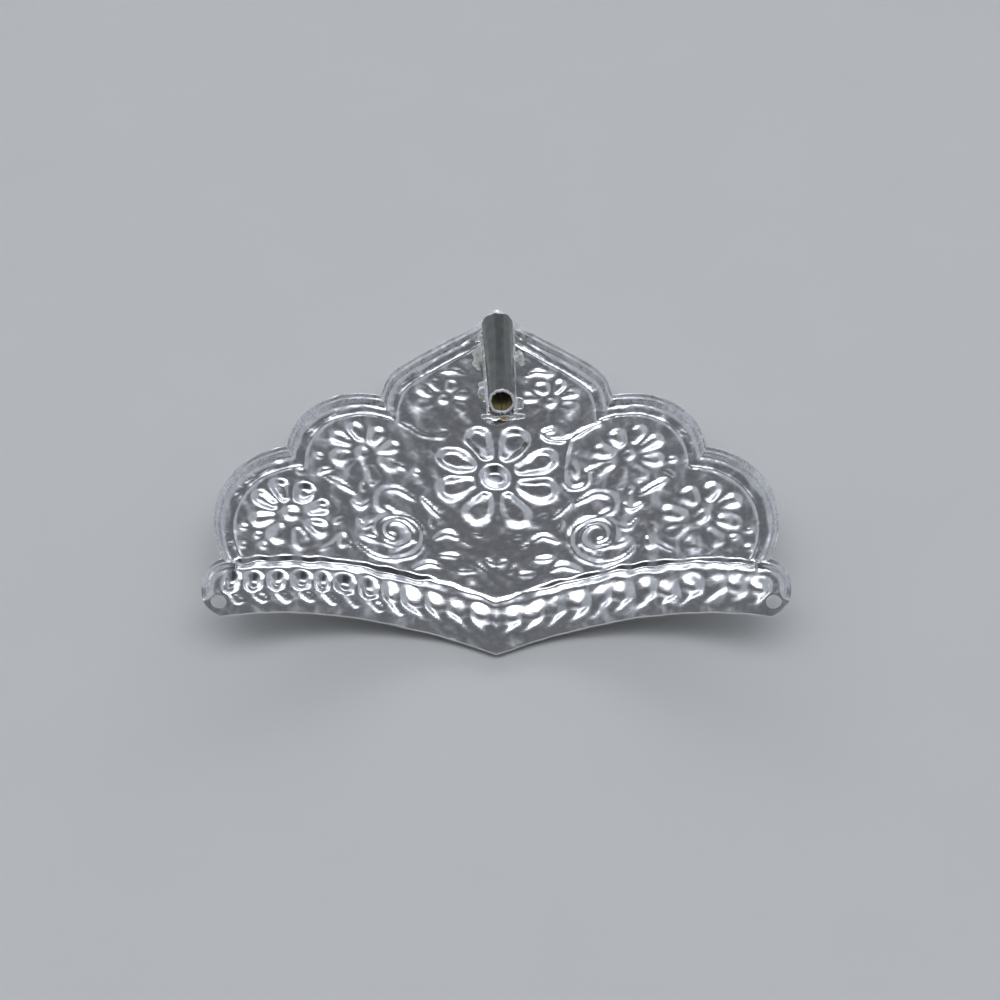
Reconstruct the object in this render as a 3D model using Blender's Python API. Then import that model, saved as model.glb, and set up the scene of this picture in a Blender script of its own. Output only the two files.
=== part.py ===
"""Deity crown: one pressed sheet of silver, lying on its front, with a rolled plume tube along its back.

The crown is drawn as a flat pattern, in units of a millimetre, on the right half of the sheet: u runs
from the centre line towards the end of the band, v runs up towards the tip. relief() gives the height
of the pressed metal over the pattern, fold() bends the sheet round the brow, and both faces of the
metal follow from them. Hollows go down, towards the front of the crown, which is the underside here.
"""

import math

import bpy
import numpy as np
from mathutils.geometry import delaunay_2d_cdt

# Sheet, in metres
HALF_WIDTH = 0.0365      # along the metal, from the centre line to the end of the band
SHEET = 0.00034          # thickness of the metal
BEND_RADIUS = 0.0430     # middle of the crown, round the brow
WING_ANGLE = math.radians(16)   # slope of the straight wings beyond the bend
TIE_HOLE = 0.0019        # diameter of the hole for a cord in each end of the band
TIE_MARGIN = 0.0006      # metal left between that hole and the end of the band
HOLE_FLAT = 0.00045      # plain flat metal round that hole

# Pressed work, in metres
RIM_RISE = 0.00120       # the edge of the points stands up towards the back
RIM_WIDTH = 0.00105      # from the edge to the foot of that rim
BORDER_WIDTH = 0.00130   # plain strip between the rim's foot and the inner step
STEP_RISE = 0.00016      # the inner step
STEP_WIDTH = 0.00045
FLOWER_DEPTH = 0.00090   # the centre flower, the deepest work
SMALL_DEPTH = 0.00065    # the other flowers
SCROLL_DEPTH = 0.00048   # scrolls and leaves
FLUTE_DEPTH = 0.00068    # curved flutes across the band
GROOVE_DEPTH = 0.00075   # hollow line between the band and the points
GROOVE_WIDTH = 0.00105
WORN = 0.00006           # rubbed off the highest places of the front, which leaves flat spots

# Plume tube, in metres
TUBE_BORE = 0.00276      # at the lower mouth
TUBE_WALL = 0.00034
TUBE_FLARE = 0.00086     # how much wider the tube is at its top
MOUTH_SLANT = math.radians(22)  # the lower mouth is cut aslant
FOOT_ASIDE = 0.0007      # the lower mouth stands to the right of the middle
TUBE_LEAN = math.radians(2.4)   # and the tube leans back over it
JOINT_GAP = 0.0003       # room for the solder between the tube and the sheet

# The pattern, in its own units
PATTERN_HALF = 36.5
UNIT = HALF_WIDTH / PATTERN_HALF
BROW = ((0.0, -24.0), (5.0, -22.2), (10.0, -21.2), (17.5, -20.7), (25.0, -21.2), (30.5, -22.3), (33.8, -23.3))
END_TOP = (34.3, -15.9)  # notch between the band and the lowest point
LOW_TOP = (27.75, 2.2)   # notch between the two side points
HIGH_TOP = (16.0, 13.0)  # notch beside the middle point
TIP = (HIGH_TOP, (14.9, 16.6), (12.1, 19.9), (8.2, 23.3), (4.1, 26.6), (0.0, 30.8))
END_BULGE, LOW_BULGE, HIGH_BULGE = 2.45, 4.4, 3.2
TIE_TURN = math.radians(-48)    # direction of the tie hole from the middle of the band's round end
GROOVE_RISE = 7.35       # the groove's middle above the brow edge
GROOVE_END = 31.5        # the u where the groove begins to fade
FLUTE_START, FLUTE_PITCH, FLUTE_COUNT = 4.07, 2.81, 11
FLUTE_PATH = ((-0.7, 1.35), (0.24, 2.6), (0.62, 4.2), (0.1, 5.3))   # u aside, v above the brow edge
TUBE_FOOT, TUBE_TOP = 12.6, 26.7   # the v of the tube's two ends
PETALS = 8
FLOOR_SHARE = 0.55       # level share of the width of a petal or a boss

# Facets
EDGE_STEP = 1.7          # spacing of points along the outline and the border
FIELD_STEP = 3.4         # spacing of points on plain metal
FINE_STEP = 0.45         # spacing of the stations that give a hollow its shape
TUBE_SIDES = 28
HOLE_SIDES = 14


def curve_through(points, step):
    """Points along a smooth curve through the given ones, about step apart (a Catmull-Rom curve)."""
    p = np.array(points, float)
    p = np.vstack([2 * p[0] - p[1], p, 2 * p[-1] - p[-2]])
    out = []
    for a, b, c, d in zip(p[:-3], p[1:-2], p[2:-1], p[3:]):
        count = max(1, round(float(np.hypot(*(c - b))) / step))
        for t in np.arange(count) / count:
            out.append(0.5 * (2 * b + (c - a) * t + (2 * a - 5 * b + 4 * c - d) * t ** 2
                              + (3 * b - a - 3 * c + d) * t ** 3))
    out.append(p[-2])
    return np.array(out)


def arc_circle(start, end, bulge):
    """Centre and radius of the arc from start to end that bulges to the right of that direction."""
    start, end = np.array(start), np.array(end)
    chord = end - start
    half = np.hypot(*chord) / 2
    radius = (half ** 2 + bulge ** 2) / (2 * bulge)
    outward = np.array([chord[1], -chord[0]]) / (2 * half)
    return (start + end) / 2 - outward * (radius - bulge), radius


def arc_points(start, end, bulge, step):
    """Points along that arc, both ends included."""
    centre, radius = arc_circle(start, end, bulge)
    a = math.atan2(start[1] - centre[1], start[0] - centre[0])
    b = math.atan2(end[1] - centre[1], end[0] - centre[0])
    count = max(2, round(abs(b - a) * radius / step))
    angles = a + (b - a) * np.arange(count + 1) / count
    return centre + radius * np.column_stack([np.cos(angles), np.sin(angles)])


BAND_END = (BROW[-1], END_TOP, END_BULGE)
LOW_POINT = (END_TOP, LOW_TOP, LOW_BULGE)
HIGH_POINT = (LOW_TOP, HIGH_TOP, HIGH_BULGE)
SHEET_MIDDLE = (BROW[0][1] + TIP[-1][1]) / 2     # the v that lies at y = 0


def outline(step):
    """The edge of the right half, from the middle of the brow round to the tip."""
    parts = [curve_through(BROW, step)]
    parts += [arc_points(*arc, step) for arc in (BAND_END, LOW_POINT, HIGH_POINT)]
    parts.append(curve_through(TIP, step))
    return np.vstack([parts[0]] + [p[1:] for p in parts[1:]])


def brow(u):
    """Height of the brow edge at each u."""
    edge = curve_through(BROW, 0.4)
    return np.interp(u, edge[:, 0], edge[:, 1])


def leaf(points, width, depth):
    """A hollow leaf along a line: pointed at both ends, widest in the middle."""
    return {"kind": "leaf", "points": points, "width": width, "depth": depth}


def scroll(points, width, depth, start=0.45):
    """A hollow line that begins at a share of its width and ends round."""
    return {"kind": "scroll", "points": points, "width": width, "depth": depth, "start": start}


def flower(centre, reach, boss, petal, depth):
    """Hollow petals round a hollow boss, out to the reach; a petal widens outwards."""
    cu, cv = centre
    strokes = [{"kind": "boss", "points": [centre], "width": 2 * boss, "depth": depth}]
    inner, outer = boss + petal * 0.32, reach - petal / 2
    for k in range(PETALS):
        angle = 2 * math.pi * (k + 0.5) / PETALS
        ends = [(cu + r * math.cos(angle), cv + r * math.sin(angle)) for r in (inner, outer)]
        if ends[1][0] > 0:
            strokes.append({"kind": "petal", "points": ends, "width": petal, "depth": depth, "start": 0.42})
    return strokes


def spiral(centre, radius, turn_in, start, sweep, width, depth):
    """A scroll that winds clockwise inwards by turn_in for each radian; a sweep below nought winds back."""
    turned = np.linspace(0, math.radians(sweep), 3 + round(abs(sweep) / 28))
    angles = math.radians(start) - turned
    radii = radius - turn_in * np.abs(turned)
    points = np.array(centre) + radii[:, None] * np.column_stack([np.cos(angles), np.sin(angles)])
    return scroll([tuple(p) for p in points], width, depth)


def flute_line(k, aside, extend=0.0):
    """Points down the length of flute k, or of a line that far aside of it, its ends drawn out."""
    path = np.array(FLUTE_PATH)
    path[0] += (path[0] - path[1]) * extend
    path[-1] += (path[-1] - path[-2]) * extend
    u = FLUTE_START + FLUTE_PITCH * k + aside + path[:, 0]
    return np.column_stack([u, brow(u) + path[:, 1]])


def flutes():
    """The curved flutes that lie side by side across the band."""
    return [{"kind": "flute", "points": flute_line(k, 0), "width": FLUTE_PITCH, "depth": FLUTE_DEPTH,
             "place": k} for k in range(FLUTE_COUNT)]


def ornament():
    """Every hollow, as drawn on the right half."""
    d = SCROLL_DEPTH
    strokes = flower((0, 2.7), 8.5, 2.15, 4.0, FLOWER_DEPTH)
    strokes += flower((26.4, -7.5), 5.6, 1.1, 2.5, SMALL_DEPTH)
    strokes += flower((17.45, 3.75), 5.3, 1.05, 2.35, SMALL_DEPTH)
    strokes += flower((7.35, 14.7), 3.8, 0.8, 1.7, d)
    strokes += flutes()
    # The large spiral with its curled head and the leaves inside it
    strokes.append(spiral((13.0, -7.6), 4.9, 0.5, -20, 400, 1.0, d * 1.15))
    strokes.append(spiral((13.0, -2.6), 1.75, 0.05, 262, -285, 1.1, d * 1.1))
    strokes += [leaf([(13.5, -9.6), (15.3, -9.0), (17.1, -8.9)], 1.15, d),
                leaf([(11.7, -9.3), (13.5, -10.8)], 0.75, d),
                leaf([(10.4, -8.7), (10.8, -7.8)], 0.8, d),
                leaf([(15.2, -6.2), (16.9, -7.2), (18.1, -6.2)], 0.9, d),
                leaf([(16.4, -3.3), (17.2, -4.6), (19.0, -3.8)], 0.85, d),
                leaf([(17.3, -2.1), (17.7, -0.8)], 1.0, d)]
    # The long leaf with its hook, and the lily below it
    strokes += [leaf([(18.3, -2.8), (20.6, -1.5), (23.5, -0.4)], 1.3, d * 1.1),
                leaf([(23.4, -0.5), (22.6, 0.2), (21.4, 0.6)], 0.9, d),
                leaf([(19.6, -8.9), (19.7, -11.0)], 1.5, d),
                leaf([(19.4, -9.4), (18.1, -11.5)], 0.7, d * 0.8),
                leaf([(19.9, -9.4), (21.0, -11.0), (22.7, -12.1)], 0.8, d * 0.8),
                leaf([(19.3, -5.8), (20.5, -7.8)], 0.7, d * 0.7)]
    # The crozier, which took only on the right, and the hook above it
    crozier = scroll([(13.6, 9.6), (11.4, 8.1), (9.6, 6.6), (8.7, 4.4), (8.7, 1.9), (9.6, 0.4), (10.9, 0.6),
                      (11.2, 2.2), (10.4, 3.6)], 1.0, d)
    strokes += [{**crozier, "right_only": True},
                leaf([(9.7, 2.1), (10.5, 1.2)], 0.9, d),
                leaf([(11.8, 2.4), (13.1, 3.2)], 0.9, d),
                scroll([(12.9, 11.6), (11.6, 10.0), (9.2, 8.9), (7.4, 8.7), (6.6, 9.4), (7.3, 10.3)], 1.0, d)]
    # Leaves and drops round the centre flower, the lotus below it and the tip
    strokes += [leaf([(6.7, -3.9), (9.2, -1.9)], 0.85, d),
                leaf([(7.4, -5.8), (8.5, -4.5)], 0.8, d),
                leaf([(4.6, -7.4), (6.0, -6.5), (7.6, -7.5)], 1.3, d),
                leaf([(4.4, -10.3), (6.7, -10.4)], 1.0, d),
                leaf([(6.9, -12.1), (8.5, -11.4), (10.6, -12.5)], 1.1, d),
                leaf([(2.6, -12.3), (4.8, -12.3)], 1.1, d),
                leaf([(1.6, -6.7), (3.4, -6.5)], 0.6, d * 0.7),
                leaf([(0.5, -12.6), (1.6, -11.4)], 0.55, d * 0.7),
                leaf([(0.0, -11.3), (1.0, -9.9)], 0.8, d),
                leaf([(2.4, -8.8), (3.7, -8.0)], 0.6, d * 0.7),
                leaf([(4.2, 19.4), (5.6, 20.0), (7.3, 19.3)], 1.1, d),
                leaf([(3.3, 22.3), (4.4, 21.7)], 0.7, d * 0.8)]
    # Drops in the corners of the side points
    for u, v, size in ((26.1, -0.9, 1.2), (23.2, 2.2, 1.1), (31.9, -10.3, 1.0), (30.3, -11.3, 1.1),
                       (31.9, -12.9, 1.1), (28.2, -11.6, 0.9), (29.9, -12.7, 0.9)):
        strokes.append(leaf([(u - size * 0.35, v), (u + size * 0.35, v)], size, d * 0.9))
    # The bow and the drop at the middle of the band
    bow = [(-3.0, -17.9), (-1.4, -17.9), (0.0, -18.3), (1.4, -17.9), (3.0, -17.9)]
    strokes += [leaf(bow, 1.6, FLOWER_DEPTH),
                leaf([(1.0, -21.2), (1.9, -20.0)], 0.9, d)]
    return strokes


STROKES = ornament()
FLOORED = ("boss", "petal")   # hollows with a steep wall round a level floor


def spine(stroke, step):
    """Points along the middle of a stroke, with the half width and the depth there."""
    points = np.array(stroke["points"], float)
    if len(points) > 1:
        points = curve_through(points, step)
        if len(points) == 2 and stroke["kind"] != "petal":
            points = np.array([points[0], points.mean(axis=0), points[1]])
    share = np.linspace(0, 1, len(points))
    half, depth = stroke["width"] / 2, stroke["depth"]
    if stroke["kind"] == "leaf":
        swell = np.sin(math.pi * share).clip(0) ** 0.65
        return points, half * (0.12 + 0.88 * swell), depth * (0.35 + 0.65 * swell)
    if stroke["kind"] == "flute":
        swell = np.sin(math.pi * (0.14 + 0.72 * share))
        return points, half * swell ** 0.6, depth * swell
    if stroke["kind"] == "boss":
        return points, np.array([half]), np.array([depth])
    quick = 1.0 if stroke["kind"] == "petal" else 3.0   # a scroll reaches its width in a third of its length
    swell = stroke["start"] + (1 - stroke["start"]) * np.minimum(1, share * quick)
    return points, half * swell, depth * np.minimum(1, swell + 0.15)


def hollow(stroke, p):
    """Depth of one stroke at the points p, in metres, nought outside it."""
    points, radii, depths = spine(stroke, FINE_STEP)
    low, high = points.min(axis=0) - radii.max(), points.max(axis=0) + radii.max()
    near = np.nonzero(((p > low) & (p < high)).all(axis=1))[0]
    depth = np.zeros(len(p))
    q = p[near]
    best = np.zeros(len(near))
    last = len(points) - 1
    for i in range(max(1, last)):
        j = min(i + 1, last)
        run = points[j] - points[i]
        t = np.clip((q - points[i]) @ run / max(run @ run, 1e-9), 0, 1)
        radius = radii[i] + t * (radii[j] - radii[i])
        reach = np.hypot(*(q - points[i] - t[:, None] * run).T) / radius
        if stroke["kind"] in FLOORED:
            wall = np.clip((1 - reach) / (1 - FLOOR_SHARE), 0, 1)
            shape = 1 - (1 - wall) ** 2
        else:
            shape = 1 - np.minimum(reach, 1) ** 2
        best = np.maximum(best, (depths[i] + t * (depths[j] - depths[i])) * shape)
    depth[near] = best
    return depth


def edge_distance(p):
    """Distances in from the edge of the points, mitred at the notches, and from the band's round end, and
    the direction there."""
    reaches = []
    for arc in (LOW_POINT, HIGH_POINT):
        centre, radius = arc_circle(*arc)
        reaches.append(radius - np.hypot(*(p - centre).T))
    tip = curve_through(TIP, 1.0)
    tip = np.vstack([[tip[0, 0] + 0.6, tip[0, 1] - 30], tip])
    signed = np.full(len(p), np.inf)
    for a, b in zip(tip[:-1], tip[1:]):
        run = b - a
        t = np.clip((p - a) @ run / (run @ run), 0, 1)
        away = p - a - t[:, None] * run
        side = np.sign(run[0] * away[:, 1] - run[1] * away[:, 0])
        distance = np.hypot(*away.T)
        signed = np.where(distance < np.abs(signed), side * distance, signed)
    reaches.append(signed)
    points = np.max(reaches, axis=0)
    centre, radius = arc_circle(*BAND_END)
    away = p - centre
    band = np.where(away[:, 0] > 0, radius - np.hypot(*away.T), radius)
    return points, band, np.arctan2(away[:, 1], away[:, 0])


def ease(x):
    """Smooth step from 0 to 1."""
    x = np.clip(x, 0, 1)
    return x * x * (3 - 2 * x)


def relief(p, left):
    """Height of the middle of the metal over the plain sheet, in metres, at the points p of the right half,
    or at their mirror images on the left."""
    points, band, angle = edge_distance(p)
    groove_line = brow(p[:, 0]) + GROOVE_RISE
    above = p[:, 1] > groove_line
    points_in, band_in = points * UNIT, band * UNIT
    rim = 1 - ease((points_in - 0.1 * RIM_WIDTH) / (0.9 * RIM_WIDTH))
    tip_fade = 1 - 0.45 * ease((p[:, 1] - 24) / 5)
    step = np.clip(1 - np.abs(points_in - RIM_WIDTH - BORDER_WIDTH - STEP_WIDTH / 2) / (STEP_WIDTH / 2), 0, 1)
    step *= ease((p[:, 0] * UNIT - TUBE_BORE / 2 - TUBE_WALL) / STEP_WIDTH - 1)   # none under the tube
    field = RIM_RISE * rim * tip_fade + STEP_RISE * step
    end_fade = ease((angle + math.radians(32)) / math.radians(30))
    end_rim = RIM_RISE * end_fade * (1 - ease(band_in / RIM_WIDTH))
    height = np.where(above, field, end_rim)
    ends = 1 - ease((p[:, 0] - GROOVE_END) / 2)
    groove = np.clip(1 - (np.abs(p[:, 1] - groove_line) * UNIT / (GROOVE_WIDTH / 2)) ** 2, 0, 1)
    depth = GROOVE_DEPTH * ends * groove
    for stroke in STROKES:
        if not (left and stroke.get("right_only")):
            depth = np.maximum(depth, hollow(stroke, p))
    from_hole = np.hypot(*(p - tie_centre()).T) * UNIT - TIE_HOLE / 2 - HOLE_FLAT
    return height - depth * ease(from_hole / HOLE_FLAT)


def round_end(point, along, across, radius):
    """Points of a half circle round the end of a stroke, without its two sides."""
    turns = (0.25, 0.5, 0.75) if radius > 0.9 else (0.33, 0.67) if radius > 0.6 else (0.5,)
    return [point + radius * (math.cos(math.pi * t) * across + math.sin(math.pi * t) * along) for t in turns]


def stroke_lines(stroke):
    """The lines that the facets follow round a stroke and along its bottom, each with whether it closes."""
    points, radii, _ = spine(stroke, 1.4 if stroke["kind"] == "scroll" else 1.8)
    if stroke["kind"] == "boss":
        sides = 16 if radii[0] > 1.5 else 8
        turns = np.arange(sides) * 2 * math.pi / sides + math.pi / 2
        ring = np.column_stack([np.cos(turns), np.sin(turns)]) * radii[0]
        return [(points[0] + ring, True), (points[0] + ring * FLOOR_SHARE, True)]
    if stroke["kind"] == "flute":
        place = stroke["place"]
        sides = (1, -1) if place == 0 else (1,)
        open_lines = [flute_line(place, side * FLUTE_PITCH / 2, 0.2) for side in sides]
        low, *middle, high = flute_line(place, 0)
        beyond = flute_line(place, 0, 0.65)
        open_lines += [np.array(middle), beyond[:1], beyond[-1:]]
        beside = np.array([FLUTE_PITCH * 0.32, 0])
        loop = [low, *(middle + beside), high, *(middle - beside)[::-1]]
        return [(line, False) for line in open_lines] + [(np.array(loop), True)]
    run = np.gradient(points, axis=0)
    run /= np.hypot(*run.T)[:, None]
    side = np.column_stack([-run[:, 1], run[:, 0]])
    left, right = points + side * radii[:, None], points - side * radii[:, None]
    far = round_end(points[-1], run[-1], side[-1], radii[-1])
    near = round_end(points[0], -run[0], -side[0], radii[0])
    if stroke["kind"] == "leaf":
        left, right = left[1:-1], right[1:-1]
    lines = [(np.vstack([left, far, right[::-1], near]), True)]
    if stroke["kind"] == "petal":
        floor = radii[-1] * FLOOR_SHARE
        far = round_end(points[-1], run[-1], side[-1], floor)
        sides = [points[-1] + side[-1] * floor, *far, points[-1] - side[-1] * floor]
        return lines + [(np.vstack([sides, points[0]]), True)]
    return lines + [(points[1:-1], False)]


def fold(p, height):
    """Places on the bent sheet of the pattern points p, height metres above the plain sheet."""
    u, v = p[:, 0] * UNIT, (p[:, 1] - SHEET_MIDDLE) * UNIT
    angle = np.minimum(np.abs(u) / BEND_RADIUS, WING_ANGLE)
    straight = np.maximum(np.abs(u) - BEND_RADIUS * WING_ANGLE, 0)
    x = BEND_RADIUS * np.sin(angle) + straight * math.cos(WING_ANGLE) - height * np.sin(angle)
    z = BEND_RADIUS * (1 - np.cos(angle)) + straight * math.sin(WING_ANGLE) + height * np.cos(angle)
    return np.column_stack([np.sign(u) * x, v, z + FLOWER_DEPTH - WORN + SHEET / 2])


def tie_centre():
    """Middle of the hole in the end of the band."""
    centre, radius = arc_circle(*BAND_END)
    reach = radius - (TIE_MARGIN + TIE_HOLE / 2) / UNIT
    return centre + reach * np.array([math.cos(TIE_TURN), math.sin(TIE_TURN)])


def tie_hole(grow=0.0):
    """The loop of that hole, or one that many metres larger round it."""
    turns = np.arange(HOLE_SIDES) * 2 * math.pi / HOLE_SIDES
    return tie_centre() + (TIE_HOLE / 2 + grow) / UNIT * np.column_stack([np.cos(turns), np.sin(turns)])


def inside(loop, p):
    """Which points p lie inside a closed loop (even-odd rule)."""
    count = np.zeros(len(p), int)
    for a, b in zip(loop, np.roll(loop, -1, axis=0)):
        crosses = (a[1] > p[:, 1]) != (b[1] > p[:, 1])
        with np.errstate(divide="ignore", invalid="ignore"):
            at = a[0] + (p[:, 1] - a[1]) / (b[1] - a[1]) * (b[0] - a[0])
        count += crosses & (p[:, 0] < at)
    return count % 2 == 1


def border_lines():
    """Lines that follow the edge: halfway down the rim, its foot, and the top and foot of the inner step."""
    edge = np.vstack([arc_points(*LOW_POINT, EDGE_STEP), arc_points(*HIGH_POINT, EDGE_STEP)[1:],
                      curve_through(TIP, EDGE_STEP)[1:]])
    run = np.gradient(edge, axis=0)
    run /= np.hypot(*run.T)[:, None]
    inward = np.column_stack([-run[:, 1], run[:, 0]])
    axis = np.column_stack([np.zeros(60), np.linspace(TIP[-1][1], TUBE_FOOT, 60)])
    axis_reach = edge_distance(axis)[0] * UNIT
    lines = []
    step_in = RIM_WIDTH + BORDER_WIDTH
    for distance in (RIM_WIDTH * 0.55, RIM_WIDTH, step_in + STEP_WIDTH / 2, step_in + STEP_WIDTH):
        line = edge + inward * distance / UNIT
        reach = edge_distance(line)[0] * UNIT
        keep = (np.abs(reach - distance) < 0.00012) & (line[:, 1] > brow(line[:, 0]) + GROOVE_RISE + 0.8)
        middle = (0.0, np.interp(distance, axis_reach, axis[:, 1]))
        lines.append(np.vstack([line[keep & (line[:, 0] > 0.6)], middle]))
    return lines


def groove_lines():
    """Three lines along the groove: its two sides and its bottom."""
    u = np.append(np.arange(0, 33, EDGE_STEP * 1.1), 33.4)
    half = GROOVE_WIDTH / 2 / UNIT
    return [np.column_stack([u, brow(u) + GROOVE_RISE + side * half]) for side in (-1, 0, 1)]


def half_triangles():
    """Points and triangles of the right half of the pattern."""
    rim, hole = outline(EDGE_STEP), tie_hole()
    coords, edges = [], []

    def add(line, closed):
        first = len(coords)
        coords.extend(map(tuple, line))
        edges.extend((first + i, first + i + 1) for i in range(len(line) - 1))
        if closed:
            edges.append((len(coords) - 1, first))

    for loop in (rim, hole, tie_hole(HOLE_FLAT)):
        add(loop, True)
    for line in groove_lines():
        add(line, False)
    for stroke in STROKES:
        for line, closed in stroke_lines(stroke):
            if not closed:
                line = line[np.hypot(*(line - tie_centre()).T) * UNIT > TIE_HOLE / 2 + 2 * HOLE_FLAT]
            add(line, closed)
    coords.extend(tuple(point) for line in border_lines() for point in line)
    taken = np.array(coords)
    for u in np.arange(0, PATTERN_HALF, FIELD_STEP):
        for v in np.arange(BROW[0][1] + 1, TIP[-1][1], FIELD_STEP):
            if np.hypot(*(taken - (u, v)).T).min() > 0.42 * FIELD_STEP:
                coords.append((u, v))
    result = delaunay_2d_cdt(coords, edges, [], 0, 1e-4)
    p = np.array([tuple(c) for c in result[0]])
    p[np.abs(p[:, 0]) < 2e-3, 0] = 0.0
    triangles = np.array(result[2])
    middle = p[triangles].mean(axis=1)
    return p, triangles[inside(rim, middle) & ~inside(hole, middle)]


def sheet_mesh():
    """Both faces of the bent, pressed sheet and the edge between them."""
    p, triangles = half_triangles()
    used = np.unique(triangles)
    index = np.full(len(p), -1)
    index[used] = np.arange(len(used))
    p, triangles = p[used], index[triangles]
    mirror = np.arange(len(p)) + len(p)
    on_axis = p[:, 0] == 0
    mirror[on_axis] = np.nonzero(on_axis)[0]
    both = np.vstack([p, p * (-1, 1)])
    triangles = np.vstack([triangles, mirror[triangles][:, ::-1]])
    height = np.concatenate([relief(p, False), relief(p, True)])
    used = np.unique(triangles)
    index = np.full(len(both), -1)
    index[used] = np.arange(len(used))
    both, height, triangles = both[used], height[used], index[triangles]
    back = fold(both, height + SHEET / 2)
    front = fold(both, height - SHEET / 2)
    front[:, 2] = np.maximum(front[:, 2], 0)
    count = len(both)
    faces = [tuple(t) for t in triangles] + [tuple(t[::-1] + count) for t in triangles]
    sides = {(t[i], t[i - 2]): None for t in triangles for i in range(3)}
    for a, b in sides:
        if (b, a) not in sides:
            faces.append((b, a, a + count))
            faces.append((b, a + count, b + count))
    return np.vstack([back, front]), faces


def tube_mesh():
    """The rolled tube: its lower mouth cut aslant, its upper one square."""
    rings = []
    low_bore = TUBE_BORE / 2
    length = (TUBE_TOP - TUBE_FOOT) * UNIT
    for wall in (TUBE_WALL, 0.0):
        for share in (0, 1):
            radius = low_bore + TUBE_FLARE / 2 * share + wall
            rise = low_bore + TUBE_WALL + TUBE_FLARE / 2 * share
            ring = []
            for k in range(TUBE_SIDES):
                turn = 2 * math.pi * k / TUBE_SIDES
                z = rise + radius * math.sin(turn)
                lean = z * math.tan(MOUTH_SLANT) * (1 - share)
                ring.append((radius * math.cos(turn), length * share + lean, z))
            rings.append(ring)
    outer_low, outer_high, inner_low, inner_high = range(4)
    faces = []

    def skin(a, b):
        for k in range(TUBE_SIDES):
            n = (k + 1) % TUBE_SIDES
            quad = [a * TUBE_SIDES + k, a * TUBE_SIDES + n, b * TUBE_SIDES + n, b * TUBE_SIDES + k]
            faces.append((quad[0], quad[1], quad[2]))
            faces.append((quad[0], quad[2], quad[3]))

    skin(outer_high, outer_low)
    skin(inner_low, inner_high)
    skin(outer_low, inner_low)
    skin(inner_high, outer_high)
    return np.array([point for ring in rings for point in ring]), faces


def material(name, colour, roughness):
    """A plain metal."""
    made = bpy.data.materials.new(name)
    made.use_nodes = True
    shader = made.node_tree.nodes["Principled BSDF"]
    shader.inputs["Base Color"].default_value = (*colour, 1)
    shader.inputs["Metallic"].default_value = 1.0
    shader.inputs["Roughness"].default_value = roughness
    return made


def piece(name, vertices, faces, metal):
    """One named object from its mesh."""
    mesh = bpy.data.meshes.new(name)
    mesh.from_pydata([tuple(map(float, v)) for v in vertices], [], [tuple(map(int, f)) for f in faces])
    mesh.validate()
    mesh.shade_smooth()
    mesh.set_sharp_from_angle(angle=math.radians(40))
    mesh.materials.append(metal)
    made = bpy.data.objects.new(name, mesh)
    bpy.context.scene.collection.objects.link(made)
    return made


def main():
    for old in list(bpy.data.objects):
        bpy.data.objects.remove(old, do_unlink=True)
    silver = material("pressed_silver", (0.80, 0.80, 0.82), 0.22)
    dull = material("rolled_silver", (0.52, 0.52, 0.53), 0.34)
    piece("crown_plate", *sheet_mesh(), silver)
    tube = piece("plume_tube", *tube_mesh(), dull)
    seat = FLOWER_DEPTH - WORN + SHEET + JOINT_GAP
    tube.location = (FOOT_ASIDE, (TUBE_FOOT - SHEET_MIDDLE) * UNIT, seat)
    tube.rotation_euler.z = TUBE_LEAN


main()
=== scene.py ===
"""Deity crown of pressed silver, lying on its front: its sheet, its rolled plume tube and the solder between
them, on a pale floor in soft studio light. Laid out as an add-on and run as a script.

The sheet is drawn as a flat pattern in units of a millimetre: u runs from the centre line towards the end of
the band, v runs up towards the tip. Hollows go down, towards the front of the crown."""

import math

import bpy
import numpy as np
from bpy.props import FloatProperty, FloatVectorProperty, IntProperty, PointerProperty
from mathutils import Matrix, Vector
from mathutils.geometry import delaunay_2d_cdt
from mathutils.kdtree import KDTree


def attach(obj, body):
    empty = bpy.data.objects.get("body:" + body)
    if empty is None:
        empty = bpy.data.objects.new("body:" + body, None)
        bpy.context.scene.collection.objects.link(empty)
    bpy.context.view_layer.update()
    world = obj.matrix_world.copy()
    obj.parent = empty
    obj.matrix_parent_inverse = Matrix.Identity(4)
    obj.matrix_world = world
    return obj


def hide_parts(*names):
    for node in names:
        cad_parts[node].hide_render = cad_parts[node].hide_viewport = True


bl_info = {
    "name": "Deity Crown",
    "version": (1, 0, 0),
    "blender": (4, 5, 0),
    "location": "View3D > Sidebar > Crown",
    "description": "Makes a pressed silver crown with its plume tube, and a small studio round it",
    "category": "Object",
}

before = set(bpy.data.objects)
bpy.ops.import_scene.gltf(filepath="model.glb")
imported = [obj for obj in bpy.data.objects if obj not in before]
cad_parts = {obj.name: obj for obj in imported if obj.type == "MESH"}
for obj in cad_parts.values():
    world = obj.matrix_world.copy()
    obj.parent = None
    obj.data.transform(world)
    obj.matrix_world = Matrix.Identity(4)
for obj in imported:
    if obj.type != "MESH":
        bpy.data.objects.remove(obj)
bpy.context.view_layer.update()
FLOOR_REACH = 20             # metres each way
# Bands of light: their middle from the horizon behind, their width, their brightness and their reach aside
SKY_BANDS = ((24, 7.0, "back", 0.62), (95, 11.0, "top", 0.68), (22, 18.0, "glow", 0.95),
             (96, 19.0, "glow", 0.9))
CAMERA_TARGET = (0.00045, -0.0034, -0.00042)
LAMP_SIZE, LAMP_HEIGHT = (0.5, 0.16), 0.6
SENSOR = 36                  # width of the camera's sensor, in millimetres

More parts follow.
